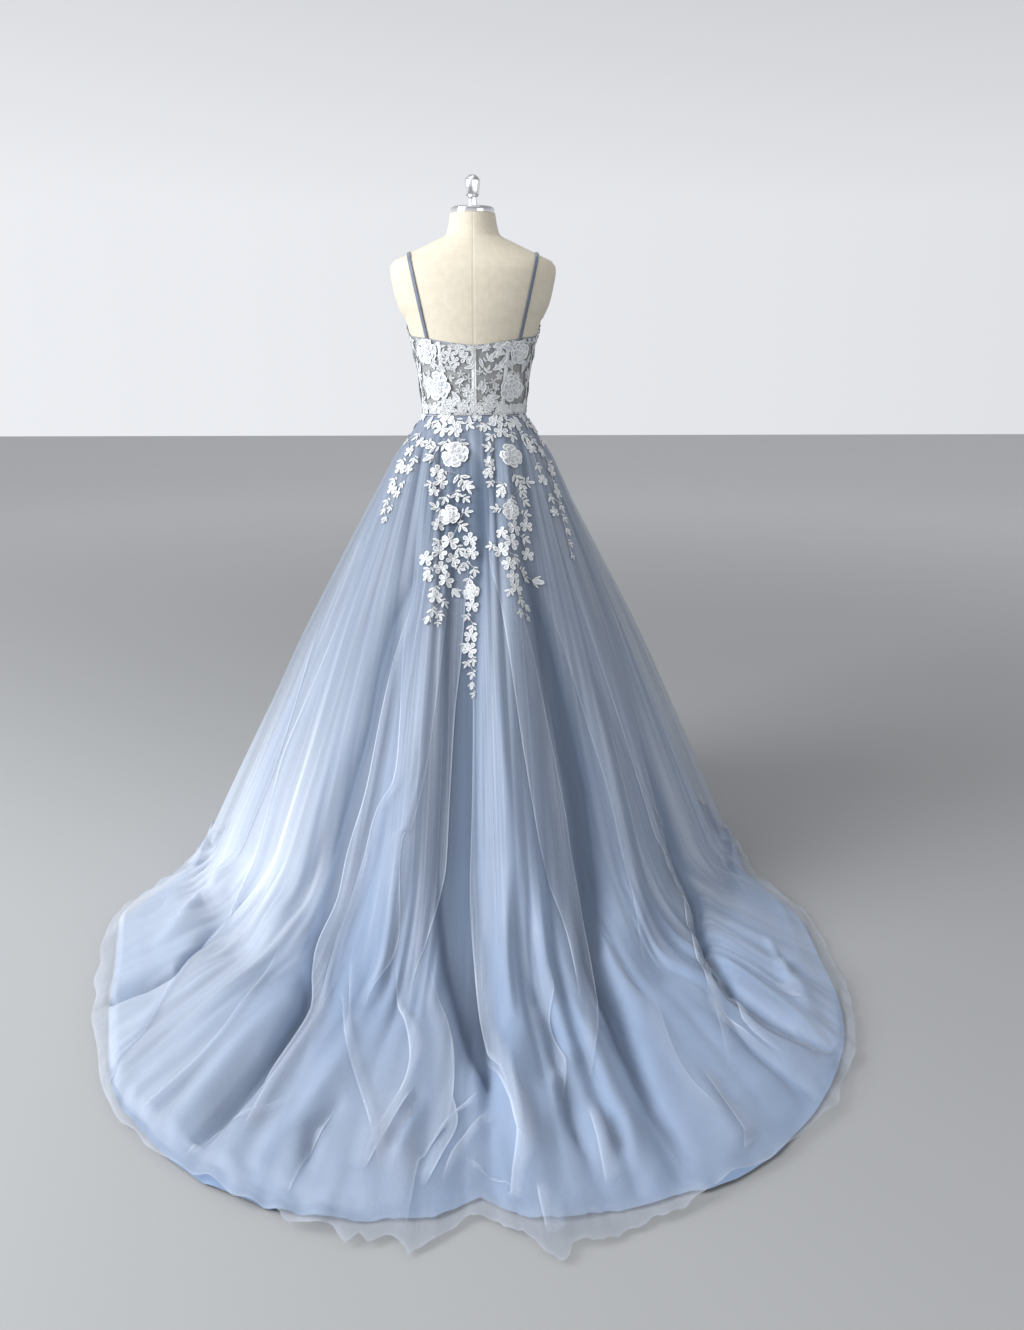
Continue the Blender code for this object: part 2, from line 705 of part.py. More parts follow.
def gap_outline(centre, z, half_width, half_height, tilt, degrees_per_metre, way):
    """A six-sided gap between lace motifs, in azimuth and height."""
    turn = math.radians(tilt)
    outline = []
    for k in range(6):
        angle = math.pi / 3 * k
        across, up = half_width * math.cos(angle), half_height * math.sin(angle)
        x = across * math.cos(turn) - up * math.sin(turn)
        y = across * math.sin(turn) + up * math.cos(turn)
        outline.append((way * (centre + x * degrees_per_metre), z + y))
    return outline


def lace_panel(name, start, end, gaps):
    """Lace from one azimuth to another, its upper edge scalloped, with the given gaps cut out."""

    def bottom(_):
        return WAIST_Z + SEAM_GAP

    def scalloped(azimuth):
        share = (azimuth - start) / (end - start)
        return top_edge(azimuth) + 0.0005 + 0.0035 * math.cos(share * SCALLOPS * 2 * math.pi)

    bodice_panel(name, start, end, bottom, scalloped, LACE_INNER, LACE_WALL, "lace", gaps)


def make_lace():
    zip_edge = math.degrees((ZIP_TAPE_WIDTH + 0.0012) / 0.088)
    back_gaps = (("left", 1, LACE_GAPS_BACK_LEFT), ("right", -1, LACE_GAPS_BACK_RIGHT))
    for side_name, way, table in back_gaps:
        gaps = []
        for x, up, half_width, half_height, tilt in table:
            z = WAIST_Z + up
            azimuth = azimuth_at(x, z)
            near = (azimuth_at(x + 0.001, z) - azimuth) / 0.001
            gaps.append(gap_outline(azimuth, z, half_width, half_height, tilt, near, way))
        ends = sorted((way * zip_edge, way * LACE_SEAM))
        lace_panel(f"lace_back_{side_name}", *ends, gaps)
        front = []
        for azimuth, up, half_width, half_height, tilt in LACE_GAPS_FRONT:
            z = WAIST_Z + up
            near = math.degrees(1 / form_radius(azimuth, z))
            front.append(gap_outline(azimuth, z, half_width, half_height, tilt, near, way))
        ends = sorted((way * (LACE_SEAM + 0.3), way * 179.8))
        lace_panel(f"lace_front_{side_name}", *ends, front)


def ribbon(name, path, normals, width, inner, thick, finish):
    """A flat ribbon along a path, its width square to the path and to the normals."""
    bm = bmesh.new()
    rings = []
    for k, (point, normal) in enumerate(zip(path, normals)):
        ahead = path[min(k + 1, len(path) - 1)] - path[max(k - 1, 0)]
        across = ahead.cross(normal).normalized() * (width / 2)
        low, high = point + normal * inner, point + normal * (inner + thick)
        corners = (low - across, low + across, high + across, high - across)
        rings.append([bm.verts.new(corner) for corner in corners])
    close_rings(bm, rings)
    return object_from(name, bm, finish)


def ridge_height(x):
    """Height of the shoulder's ridge at this distance from the axis."""
    rows = [(row[1], row[0]) for row in FORM_SECTIONS if row[0] >= 1.384]
    return float(np.interp(x, [r[0] for r in rows][::-1], [r[1] for r in rows][::-1]))


def make_straps():
    """Each strap runs from the back edge over the shoulder's ridge to the top of a cup."""
    ridge = ridge_height(STRAP_SHOULDER_X)
    for side_name, way in (("left", 1), ("right", -1)):
        path, normals = [], []
        for start, ahead, above in ((STRAP_BACK, 1, 0.0025), (STRAP_FRONT, -1, 0.0060)):
            low = top_edge(start) + above
            low_x = form_point(start, low).x
            bend = ridge - 0.008
            heights = [low + (bend - low) * k / 8 for k in range(9)]
            heights = [z for z in heights if all(abs(z - row) > 0.006 for row in FORM_ROWS)]
            heights += [row for row in FORM_ROWS if low < row < bend] + [(1.402 + bend) / 2]
            heights = sorted(heights)
            heights += [ridge - 0.008 * (1 - k / 5) ** 2 for k in range(1, 5)]
            points, outward = [], []
            for z in heights:
                x = low_x + (STRAP_SHOULDER_X - low_x) * (z - low) / (ridge - low)
                azimuth = way * azimuth_on(x, z, ahead)
                points.append(form_point(azimuth, z))
                outward.append(form_normal(azimuth, z))
            path += points if ahead > 0 else points[::-1]
            normals += outward if ahead > 0 else outward[::-1]
            if ahead > 0:
                path.append(Vector((way * STRAP_SHOULDER_X, 0, ridge)))
                normals.append(form_normal(way * 90, ridge))
        ribbon(f"strap_{side_name}", path, normals, STRAP_WIDTH, STRAP_CLEAR, STRAP_WALL, "strap")


def azimuth_on(x, z, ahead):
    """The azimuth at which the form's surface is x from its middle plane, on the back or the front."""
    low, high = (0.0, 90.0) if ahead > 0 else (90.0, 180.0)
    for _ in range(40):
        middle = (low + high) / 2
        over = form_point(middle, z).x > x
        if over == (ahead > 0):
            high = middle
        else:
            low = middle
    return (low + high) / 2


# The zip


def blocks(bm, xs, ys, zs, filled):
    """Adds the skin around the filled cells of a grid with these coordinates."""
    points = {}

    def point(corner):
        if corner not in points:
            i, j, k = corner
            points[corner] = bm.verts.new((xs[i], ys[j], zs[k]))
        return points[corner]

    for cell in filled:
        for axis in range(3):
            for way in (0, 1):
                beyond = list(cell)
                beyond[axis] += 2 * way - 1
                if tuple(beyond) in filled:
                    continue
                first, second = [other for other in range(3) if other != axis]
                face = []
                for a, b in ((0, 0), (1, 0), (1, 1), (0, 1)):
                    corner = list(cell)
                    corner[axis] += way
                    corner[first] += a
                    corner[second] += b
                    face.append(point(tuple(corner)))
                bm.faces.new(face)


def zip_frame():
    """Turns the slider's own directions, across, out and up the tape, into the gown's."""
    low, high = (form_point(0, SLIDER_Z + step, CASING_INNER + CASING_WALL) for step in (-0.01, 0.01))
    up = (high - low).normalized()
    out = Vector((1, 0, 0)).cross(up) * -1
    face = (low + high) / 2 + out * SEAM_GAP
    return Matrix((
        (1, out.x, up.x, face.x),
        (0, out.y, up.y, face.y),
        (0, out.z, up.z, face.z),
        (0, 0, 0, 1),
    ))


def make_zip():
    def low(_):
        return WAIST_Z + SEAM_GAP

    def high(_):
        return ZIP_TOP_Z

    gap, wide = (math.degrees(size / 0.088) for size in (SEAM_GAP / 2, ZIP_TAPE_WIDTH))
    for side_name, way in (("left", 1), ("right", -1)):
        ends = sorted((way * gap, way * wide))
        bodice_panel(f"zip_tape_{side_name}", *ends, low, high, CASING_INNER, CASING_WALL, "zip_tape")
    frame = zip_frame()
    make_slider(frame)
    make_pull(frame)


def make_slider(frame):
    """The slider's body, with the bail that the pull tab hangs from arched over it."""
    top = SLIDER_THICK + BAIL_ROOM
    across = (-SLIDER_WIDTH / 2, -BAIL_WIDTH / 2, BAIL_WIDTH / 2, SLIDER_WIDTH / 2)
    out = (0, SLIDER_THICK, top, top + BAIL_WIRE)
    inner = BAIL_HALF - BAIL_WIRE
    up = (-SLIDER_HALF, -BAIL_HALF, -inner, inner, BAIL_HALF, SLIDER_HALF)
    body = {(i, 0, k) for i in range(3) for k in range(5)}
    bail = {(1, 1, 1), (1, 1, 3), (1, 2, 1), (1, 2, 2), (1, 2, 3)}
    bm = bmesh.new()
    blocks(bm, across, out, up, body | bail)
    bm.transform(frame)
    object_from("zip_slider", bm, "zip_metal", smooth=False)


def make_pull(frame):
    """The pull tab, a flat loop whose crossbar lies under the bail, hanging down the zip."""
    bm = bmesh.new()
    axis_out = SLIDER_THICK + BAIL_ROOM / 2
    layers = []
    for out in (axis_out - PULL_THICK / 2, axis_out + PULL_THICK / 2):
        loops = []
        for half_outline in (PULL_OUTER, PULL_INNER):
            right = [(half, -down) for half, down in half_outline]
            loop = right + [(-half, down) for half, down in right[::-1]]
            loops.append([bm.verts.new((across, out, up)) for across, up in loop])
        layers.append(loops)
    count = len(layers[0][0])
    for k in range(count):
        after = (k + 1) % count
        for loops in layers:
            bm.faces.new((loops[0][k], loops[0][after], loops[1][after], loops[1][k]))
        for ring in (0, 1):
            near, far = layers[0][ring], layers[1][ring]
            bm.faces.new((near[k], near[after], far[after], far[k]))
    hinge = frame @ Vector((0, axis_out, 0))
    bm.transform(Matrix.Translation(-hinge) @ frame)
    pull = object_from("zip_pull", bm, "zip_metal", smooth=False)
    pull.location = hinge


# The skirt


def skirt_columns(first, last, for_lining):
    """Grain lines between the left valleys of two folds: each fold's valley and crest."""
    columns = []
    for k, (centre, half, *_) in list(enumerate(FOLDS))[first:last]:
        columns.append(centre - half)
        if for_lining or k in FRONT_FOLDS:
            columns.append(centre)
        else:
            columns += [centre - CREST_SHARE * half, centre + CREST_SHARE * half]
    after = FOLDS[last % len(FOLDS)]
    columns.append(after[0] - after[1] + (360 if last == len(FOLDS) else 0))
    return columns


def seamed(place, columns):
    """The same surface with its first and last column moved in, to leave the gap of a seam."""

    def shifted(azimuth, row, side):
        point = place(azimuth, row, side)
        if azimuth in (columns[0], columns[-1]):
            inward = 0.4 if azimuth == columns[0] else -0.4
            step = place(azimuth + inward, row, side) - point
            point += step.normalized() * (SEAM_GAP / 2)
        return point

    return shifted


def make_skirts():
    for name, first, last in SKIRT_PANELS:
        columns = skirt_columns(first, last, True)
        places, triangles = grid(columns, LINING_ROWS)
        wall(f"lining_{name}", places, triangles, seamed(lining_point, columns), "satin")
        columns = skirt_columns(first, last, False)
        places, triangles = grid(columns, TULLE_ROWS)
        wall(f"tulle_{name}", places, triangles, seamed(tulle_point, columns), "tulle")


def make_appliques():
    columns = sorted({u % 360 for u in skirt_columns(0, len(FOLDS), False)})
    columns = [u - 360 for u in columns if u > 150] + columns

    def corner(side):
        def point(u, v):
            return skirt_point(u, v, tulle_out(v) + TULLE_WALL + VINE_GAP + side * LACE_WALL, 1.0)

        return point

    def place(azimuth, row, side):
        return on_facets(corner(side), columns, TULLE_ROWS, azimuth, row)

    for name, stem, table in VINES:
        fall = (skirt_point(stem, 1, 0, 0) - skirt_point(stem, 0, 0, 0)).length
        left, right = [], []
        for down, to_left, to_right in table:
            row = down / fall
            step = skirt_point(stem + 0.5, row, 0, 0) - skirt_point(stem - 0.5, row, 0, 0)
            left.append((stem + to_left / step.length, row))
            right.append((stem - to_right / step.length, row))
        places, triangles = cut_out(right + left[::-1], [], columns, list(TULLE_ROWS))
        wall(name, places, triangles, place, "lace")


def main():
    for old in list(bpy.data.objects):
        bpy.data.objects.remove(old)
    make_form()
    make_bodice()
    make_casings()
    make_lace()
    make_straps()
    make_zip()
    make_skirts()
    make_appliques()


main()
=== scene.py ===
"""Looks of a tulle ball gown with a lace corset bodice, standing on a linen dress form.

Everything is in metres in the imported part's frame: +Z is up, the gown's front faces -Y, its train
runs out along +Y, and +X is the wearer's left. Azimuths are in degrees from the centre back,
positive towards the wearer's left.
"""

import logging
import math
from collections.abc import Callable, Sequence
from dataclasses import dataclass, field
from enum import Enum

import bmesh
import bpy
import numpy as np
from mathutils import Matrix, Vector
from mathutils.bvhtree import BVHTree


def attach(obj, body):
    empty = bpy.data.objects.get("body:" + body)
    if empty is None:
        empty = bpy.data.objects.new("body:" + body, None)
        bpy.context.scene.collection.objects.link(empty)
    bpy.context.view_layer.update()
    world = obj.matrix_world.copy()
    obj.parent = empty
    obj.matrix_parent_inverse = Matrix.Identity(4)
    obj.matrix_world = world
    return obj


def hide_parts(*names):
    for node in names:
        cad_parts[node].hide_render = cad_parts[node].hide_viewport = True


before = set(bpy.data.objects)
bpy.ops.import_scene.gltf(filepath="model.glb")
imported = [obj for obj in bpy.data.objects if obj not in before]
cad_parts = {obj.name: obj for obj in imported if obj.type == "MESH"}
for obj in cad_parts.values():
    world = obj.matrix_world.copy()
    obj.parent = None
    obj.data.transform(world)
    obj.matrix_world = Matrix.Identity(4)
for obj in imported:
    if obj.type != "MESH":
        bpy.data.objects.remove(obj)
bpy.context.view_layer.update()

LOG = logging.getLogger("ball_gown")
GOWN = "gown"
Colour = tuple[float, float, float]
Pixel = tuple[float, float]

WAIST_Z = 1.070
SIDES = (("left", 1), ("right", -1))
SEAM_GAP = 1e-5

# The form's horizontal sections: height, half width, depth to the front, depth to the back
FORM_SECTIONS = (
    (0.760, 0.140, 0.094, 0.096),
    (0.785, 0.157, 0.105, 0.112),
    (0.870, 0.167, 0.110, 0.124),
    (0.950, 0.152, 0.104, 0.112),
    (1.010, 0.131, 0.096, 0.096),
    (1.070, 0.1165, 0.088, 0.084),
    (1.200, 0.1320, 0.104, 0.093),
    (1.250, 0.1460, 0.112, 0.099),
    (1.280, 0.1550, 0.113, 0.103),
    (1.310, 0.1690, 0.111, 0.104),
    (1.350, 0.1790, 0.104, 0.103),
    (1.384, 0.1840, 0.088, 0.098),
    (1.402, 0.1790, 0.074, 0.090),
    (1.415, 0.1540, 0.066, 0.084),
    (1.430, 0.1220, 0.060, 0.076),
    (1.445, 0.0900, 0.055, 0.069),
    (1.460, 0.0610, 0.052, 0.061),
    (1.475, 0.0555, 0.051, 0.055),
    (1.505, 0.0500, 0.049, 0.050),
)
# The bodice's top edge: azimuth, height
TOP_EDGE = (
    (0, 1.222),
    (30, 1.228),
    (57, 1.237),
    (82, 1.244),
    (96, 1.266),
    (110, 1.290),
    (126, 1.312),
    (140, 1.314),
    (160, 1.288),
    (180, 1.258),
)
# The skirt's grain lines: azimuth at the waist, azimuth and distance from the axis at the hem,
# spread of the cone for each metre it falls, radius of the bend onto the floor
GRAIN_LEFT = (
    (0, 0, 1.37, 0.55, 0.42),
    (18, 3.5, 1.42, 0.55, 0.42),
    (39, 8, 1.41, 0.55, 0.42),
    (52, 13, 1.39, 0.54, 0.40),
    (62, 19, 1.35, 0.53, 0.38),
    (70, 29, 1.26, 0.52, 0.34),
    (76, 40, 1.10, 0.51, 0.28),
    (81, 50, 0.99, 0.50, 0.22),
    (86, 62, 0.905, 0.50, 0.16),
    (92, 74, 0.75, 0.48, 0.10),
    (100, 88, 0.68, 0.46, 0.08),
    (115, 106, 0.62, 0.43, 0.06),
    (135, 131, 0.595, 0.40, 0.05),
    (160, 157, 0.575, 0.38, 0.05),
    (180, 180, 0.570, 0.375, 0.05),
)
GRAIN_RIGHT = (
    (0, 0, 1.37, 0.55, 0.42),
    (18, 4, 1.43, 0.55, 0.42),
    (39, 8.5, 1.42, 0.55, 0.42),
    (52, 14, 1.38, 0.53, 0.40),
    (62, 20, 1.34, 0.51, 0.38),
    (70, 29, 1.25, 0.49, 0.34),
    (76, 38, 1.13, 0.47, 0.28),
    (81, 48, 0.97, 0.46, 0.22),
    (86, 58, 0.85, 0.45, 0.16),
    (92, 70, 0.70, 0.44, 0.10),
    (100, 86, 0.65, 0.43, 0.08),
    (115, 106, 0.62, 0.42, 0.06),
    (135, 131, 0.595, 0.40, 0.05),
    (160, 157, 0.575, 0.38, 0.05),
    (180, 180, 0.570, 0.375, 0.05),
)


def smooth_step(x: np.ndarray | float) -> np.ndarray | float:
    """Eases from 0 to 1 as x goes from 0 to 1."""
    x = np.clip(x, 0.0, 1.0)
    return x * x * (3 - 2 * x)


def wrapped(azimuth: np.ndarray) -> np.ndarray:
    """The same azimuths, between -180 and 180."""
    return (azimuth + 180) % 360 - 180


def curve(
    t: np.ndarray | float, start: np.ndarray | float, end: np.ndarray | float,
    first: np.ndarray | float, last: np.ndarray | float,
) -> np.ndarray | float:
    """Reads a cubic at t, 0 to 1, from its start and end values and its first and last slopes."""
    return (
        start * (1 + 2 * t) * (1 - t) ** 2
        + first * t * (1 - t) ** 2
        + end * t * t * (3 - 2 * t)
        + last * t * t * (t - 1)
    )


def along(table: Sequence[Sequence[float]], x: float, column: int) -> float:
    """Reads a table's column at x, on a curve through its rows that doesn't overshoot.

    Args:
        table: Rows in rising order of their first column.
        x: Where to read.
        column: Which column to read.

    Returns:
        The value there.
    """
    xs = [row[0] for row in table]
    ys = [row[column] for row in table]
    if x <= xs[0]:
        return ys[0]
    if x >= xs[-1]:
        return ys[-1]
    slopes = [(ys[i + 1] - ys[i]) / (xs[i + 1] - xs[i]) for i in range(len(xs) - 1)]
    tangents = [slopes[0]]
    for before, after in zip(slopes, slopes[1:]):
        tangents.append(2 * before * after / (before + after) if before * after > 0 else 0.0)
    tangents.append(slopes[-1])
    i = max(k for k in range(len(xs) - 1) if xs[k] <= x)
    step = xs[i + 1] - xs[i]
    return curve((x - xs[i]) / step, ys[i], ys[i + 1], step * tangents[i], step * tangents[i + 1])


def uneven(u: np.ndarray, v: np.ndarray, cells: tuple[int, int], seed: int) -> np.ndarray:
    """Smooth uneven values between -1 and 1 over a unit square that closes on itself along u.

    Args:
        u: Places round, 0 to 1.
        v: Places along, 0 to 1.
        cells: How many values lie round and along.
        seed: Which set of values.

    Returns:
        The value at each place.
    """
    values = np.random.default_rng(seed).uniform(-1, 1, (cells[1] + 2, cells[0]))
    x, y = u * cells[0], np.clip(v, 0, 1) * cells[1]
    i, j = np.floor(x).astype(int), np.floor(y).astype(int)
    a, b = smooth_step(x - i), smooth_step(y - j)
    i, after = i % cells[0], (i + 1) % cells[0]
    low = values[j, i] * (1 - a) + values[j, after] * a
    high = values[j + 1, i] * (1 - a) + values[j + 1, after] * a
    return low * (1 - b) + high * b


class Shade:
    """A shader socket, or a number, that adds Math nodes when it is used in arithmetic."""

    def __init__(self, graph: "MaterialGraph", socket: bpy.types.NodeSocket) -> None:
        """Wraps one output socket of a graph."""
        self.graph = graph
        self.socket = socket

    def _maths(self, operation: str, first: "Shade | float", second: "Shade | float" = 0.0) -> "Shade":
        """Adds one Math node and returns its result."""
        return self.graph.add("ShaderNodeMath", {"operation": operation}, {0: first, 1: second})

    def __add__(self, other: "Shade | float") -> "Shade":
        """Sum."""
        return self._maths("ADD", self, other)

    __radd__ = __add__

    def __sub__(self, other: "Shade | float") -> "Shade":
        """Difference."""
        return self._maths("SUBTRACT", self, other)

    def __rsub__(self, other: float) -> "Shade":
        """Difference from a number."""
        return self._maths("SUBTRACT", other, self)

    def __mul__(self, other: "Shade | float") -> "Shade":
        """Product."""
        return self._maths("MULTIPLY", self, other)

    __rmul__ = __mul__

    def __pow__(self, other: float) -> "Shade":
        """Power."""
        return self._maths("POWER", self, other)

    def above(self, limit: float, soft: float) -> "Shade":
        """Rises from 0 to 1 as the value passes the limit, over the given softness."""
        settings = {"interpolation_type": "SMOOTHSTEP"}
        inputs = {"Value": self, "From Min": limit - soft / 2, "From Max": limit + soft / 2}
        return self.graph.add("ShaderNodeMapRange", settings, inputs)


class MaterialGraph:
    """A material with one Principled shader, and the nodes that feed it."""

    def __init__(self, name: str) -> None:
        """Makes the material and clears its nodes down to the shader and the output."""
        self.material = bpy.data.materials.new(name)
        self.material.use_nodes = True
        self.tree = self.material.node_tree
        self.shader = self.tree.nodes["Principled BSDF"]

    def add(self, kind: str, settings: dict, inputs: dict, output: str | int = 0) -> Shade:
        """Adds any node.

        Args:
            kind: The node's type.
            settings: Its properties, set first.
            inputs: Values or links for its sockets, by name or number.
            output: Which output to return.

        Returns:
            The chosen output.
        """
        node = self.tree.nodes.new(kind)
        for name, value in settings.items():
            setattr(node, name, value)
        for name, value in inputs.items():
            self.feed(node.inputs[name], value)
        return Shade(self, node.outputs[output])

    def feed(self, socket: bpy.types.NodeSocket, value: object) -> None:
        """Sets a socket's value, or links it."""
        if isinstance(value, Shade):
            self.tree.links.new(value.socket, socket)
        elif isinstance(value, tuple) and len(value) == 3 and socket.type == "RGBA":
            socket.default_value = (*value, 1.0)
        else:
            socket.default_value = value

    def surface(self, **inputs: object) -> None:
        """Feeds the shader; underscores in a name stand for spaces."""
        for name, value in inputs.items():
            self.feed(self.shader.inputs[name.replace("_", " ")], value)

    def mix(self, factor: Shade | float, first: object, second: object) -> Shade:
        """Mixes two colours."""
        settings = {"data_type": "RGBA"}
        return self.add("ShaderNodeMix", settings, {0: factor, 6: first, 7: second}, 2)

    def place(self) -> Shade:
        """The place on the object, in metres."""
        return self.add("ShaderNodeTexCoord", {}, {}, "Object")

    def flat_place(self) -> Shade:
        """The place on the piece's own flat cut, in metres."""
        return self.add("ShaderNodeUVMap", {"uv_map": "cut"}, {})

    def marked(self, name: str) -> Shade:
        """The value that the mesh carries under that name."""
        return self.add("ShaderNodeAttribute", {"attribute_name": name}, {}, "Fac")

    def parts(self, vector: Shade) -> tuple[Shade, Shade, Shade]:
        """A vector's three components."""
        node = self.add("ShaderNodeSeparateXYZ", {}, {0: vector}).socket.node
        return tuple(Shade(self, node.outputs[k]) for k in range(3))

    def noise(self, where: Shade, scale: float, detail: float = 2.0) -> Shade:
        """Soft noise between 0 and 1."""
        return self.add("ShaderNodeTexNoise", {}, {"Vector": where, "Scale": scale, "Detail": detail})

    def waves(self, where: Shade, scale: float, direction: str, bend: float = 0.0) -> Shade:
        """Parallel waves between 0 and 1."""
        settings = {"wave_type": "BANDS", "bands_direction": direction, "wave_profile": "SIN"}
        inputs = {"Vector": where, "Scale": scale, "Distortion": bend}
        return self.add("ShaderNodeTexWave", settings, inputs, "Fac")

    def bump(self, height: Shade, depth: float, strength: float = 1.0) -> Shade:
        """A normal from a height between 0 and 1 that stands for a real depth."""
        inputs = {"Strength": strength, "Distance": depth, "Height": height}
        return self.add("ShaderNodeBump", {}, inputs)


@dataclass(frozen=True)
class SatinFinish:
    """Matt satin of the lining, with painted shade that darkens it in the valleys of its folds, under the
    waist and on the side turned from the window.
    """

    name: str = "lining_satin"
    lit: Colour = (0.285, 0.385, 0.560)
    # Colour of the satin in painted shade
    hollow: Colour = (0.092, 0.135, 0.218)
    threads_per_metre: float = 1400.0

    def build(self) -> bpy.types.Material:
        """Builds the material."""
        graph = MaterialGraph(self.name)
        flat = graph.flat_place()
        # Painted shade: a per-vertex mark darkens the satin from its lit colour towards its shaded colour.
        ground = graph.mix(graph.marked("hollow"), self.lit, self.hollow)
        cloud = graph.noise(flat, 9.0, 3.0)
        # Random clouds tint it a little towards the same shaded colour.
        ground = graph.mix(cloud.above(0.55, 0.5) * 0.14, ground, self.hollow)
        twill = graph.waves(flat, self.threads_per_metre / 20, "DIAGONAL", 1.0)
        crumple = graph.noise(flat, 26.0, 4.0)
        height = twill * 0.04 + crumple * 0.9
        graph.surface(Base_Color=ground, Roughness=0.42, Normal=graph.bump(height, 0.0016, 0.5))
        graph.surface(Sheen_Weight=0.12, Sheen_Roughness=0.35, Sheen_Tint=(0.80, 0.88, 1.0))
        graph.surface(Specular_IOR_Level=0.32)
        return graph.material


@dataclass(frozen=True)
class TulleFinish:
    """Sheer net: thread colour, and how much of the light it stops when flat and where doubled, with painted
    shade and painted light mixed into its colour.
    """

    name: str
    # The deep colour is the tulle in painted shade; the edge colour is doubled tulle, partly a painted
    # highlight.
    deep: Colour = (0.185, 0.235, 0.315)
    thread: Colour = (0.405, 0.450, 0.530)
    edge: Colour = (0.80, 0.86, 0.95)
    flat_cover: float = 0.34
    edge_cover: float = 0.85
    cells_per_metre: float = 520.0
    streak_cover: float = 0.13
    streak_pale: float = 0.12
    calm_from: float = 1.05

    def build(self) -> bpy.types.Material:
        """Builds the material."""
        graph = MaterialGraph(self.name)
        flat = graph.flat_place()
        veil = graph.marked("veil")
        fold = graph.marked("fold")
        mesh = graph.add("ShaderNodeTexVoronoi", {"feature": "DISTANCE_TO_EDGE"},
                         {"Vector": flat, "Scale": self.cells_per_metre}, "Distance")
        net = 1.12 - mesh.above(0.18, 0.2) * 0.24
        drawn = graph.add("ShaderNodeVectorMath", {"operation": "MULTIPLY"}, {0: flat, 1: (1.0, 0.05, 1.0)})
        down_cloth = graph.parts(flat)[1]
        # Streaks fade where painted shade darkens the tulle.
        streak = graph.noise(drawn, 46.0, 4.0).above(0.56, 0.36) * (1 - graph.marked("dense"))
        streak = streak * (1 - down_cloth.above(self.calm_from, 0.5) * 0.8)
        cover = (self.flat_cover - 0.04 + streak * self.streak_cover) * veil * net
        cover = cover + fold * (self.edge_cover - self.flat_cover)
        # The fold mark whitens the thread towards the edge colour: doubled tulle, with painted highlight and
        # painted light from the window's side.
        colour = graph.mix(fold + streak * self.streak_pale, self.thread, self.edge)
        # Painted shade: darkens the tulle towards the deep colour in the valleys and under the waist.
        colour = graph.mix(graph.marked("dense"), colour, self.deep)
        graph.surface(Base_Color=colour, Alpha=cover, Roughness=0.55, Specular_IOR_Level=0.25)
        graph.surface(Sheen_Weight=0.30, Sheen_Roughness=0.4, Sheen_Tint=(0.90, 0.94, 1.0))
        return graph.material


@dataclass(frozen=True)
class NetFinish:
    """Fine stretch net of the bodice, through which the form shows."""

    name: str = "bodice_net"
    thread: Colour = (0.285, 0.315, 0.365)
    cover: float = 0.56
    cells_per_metre: float = 700.0

    def build(self) -> bpy.types.Material:
        """Builds the material."""
        graph = MaterialGraph(self.name)
        flat = graph.flat_place()
        mesh = graph.add("ShaderNodeTexVoronoi", {"feature": "DISTANCE_TO_EDGE"},
                         {"Vector": flat, "Scale": self.cells_per_metre}, "Distance")
        cloud = graph.noise(flat, 22.0, 3.0)
        hem = graph.marked("hem")
        cover = self.cover + cloud * 0.24 - 0.12 - mesh.above(0.16, 0.2) * 0.10 + hem * 0.35
        graph.surface(Base_Color=self.thread, Alpha=cover, Roughness=0.7)
        return graph.material


@dataclass(frozen=True)
class LaceFinish:
    """White embroidered lace with corded edges, satin-stitched fillings and a painted shadow line round each
    motif.
    """

    name: str = "white_lace"
    cord: Colour = (0.82, 0.83, 0.83)
    filling: Colour = (0.55, 0.575, 0.61)
    between: Colour = (0.40, 0.43, 0.48)
    # Colour of the painted shadow line on each motif's outer wall
    wall: Colour = (0.24, 0.27, 0.33)
    stitches_per_unit: float = 13.0

    def build(self) -> bpy.types.Material:
        """Builds the material."""
        graph = MaterialGraph(self.name)
        flat = graph.flat_place()
        where = graph.place()
        filled = graph.marked("filled")
        stitch = graph.waves(flat, self.stitches_per_unit / 6.3, "X", 3.0)
        grain = graph.noise(where, 900.0, 2.0)
        shade = graph.mix(filled, self.cord, self.filling)
        shade = graph.mix((1 - stitch) * filled * 0.34, shade, self.between)
        # Painted shadow: darkens each motif's sloped outer wall towards the wall colour.
        shade = graph.mix(graph.marked("outline_shade") * 0.95, shade, self.wall)
        height = stitch * 0.6 + grain * 0.4
        graph.surface(Base_Color=shade, Roughness=0.62, Normal=graph.bump(height, 0.0006, 0.8))
        graph.surface(Sheen_Weight=0.25, Sheen_Roughness=0.5, Specular_IOR_Level=0.3)
        return graph.material


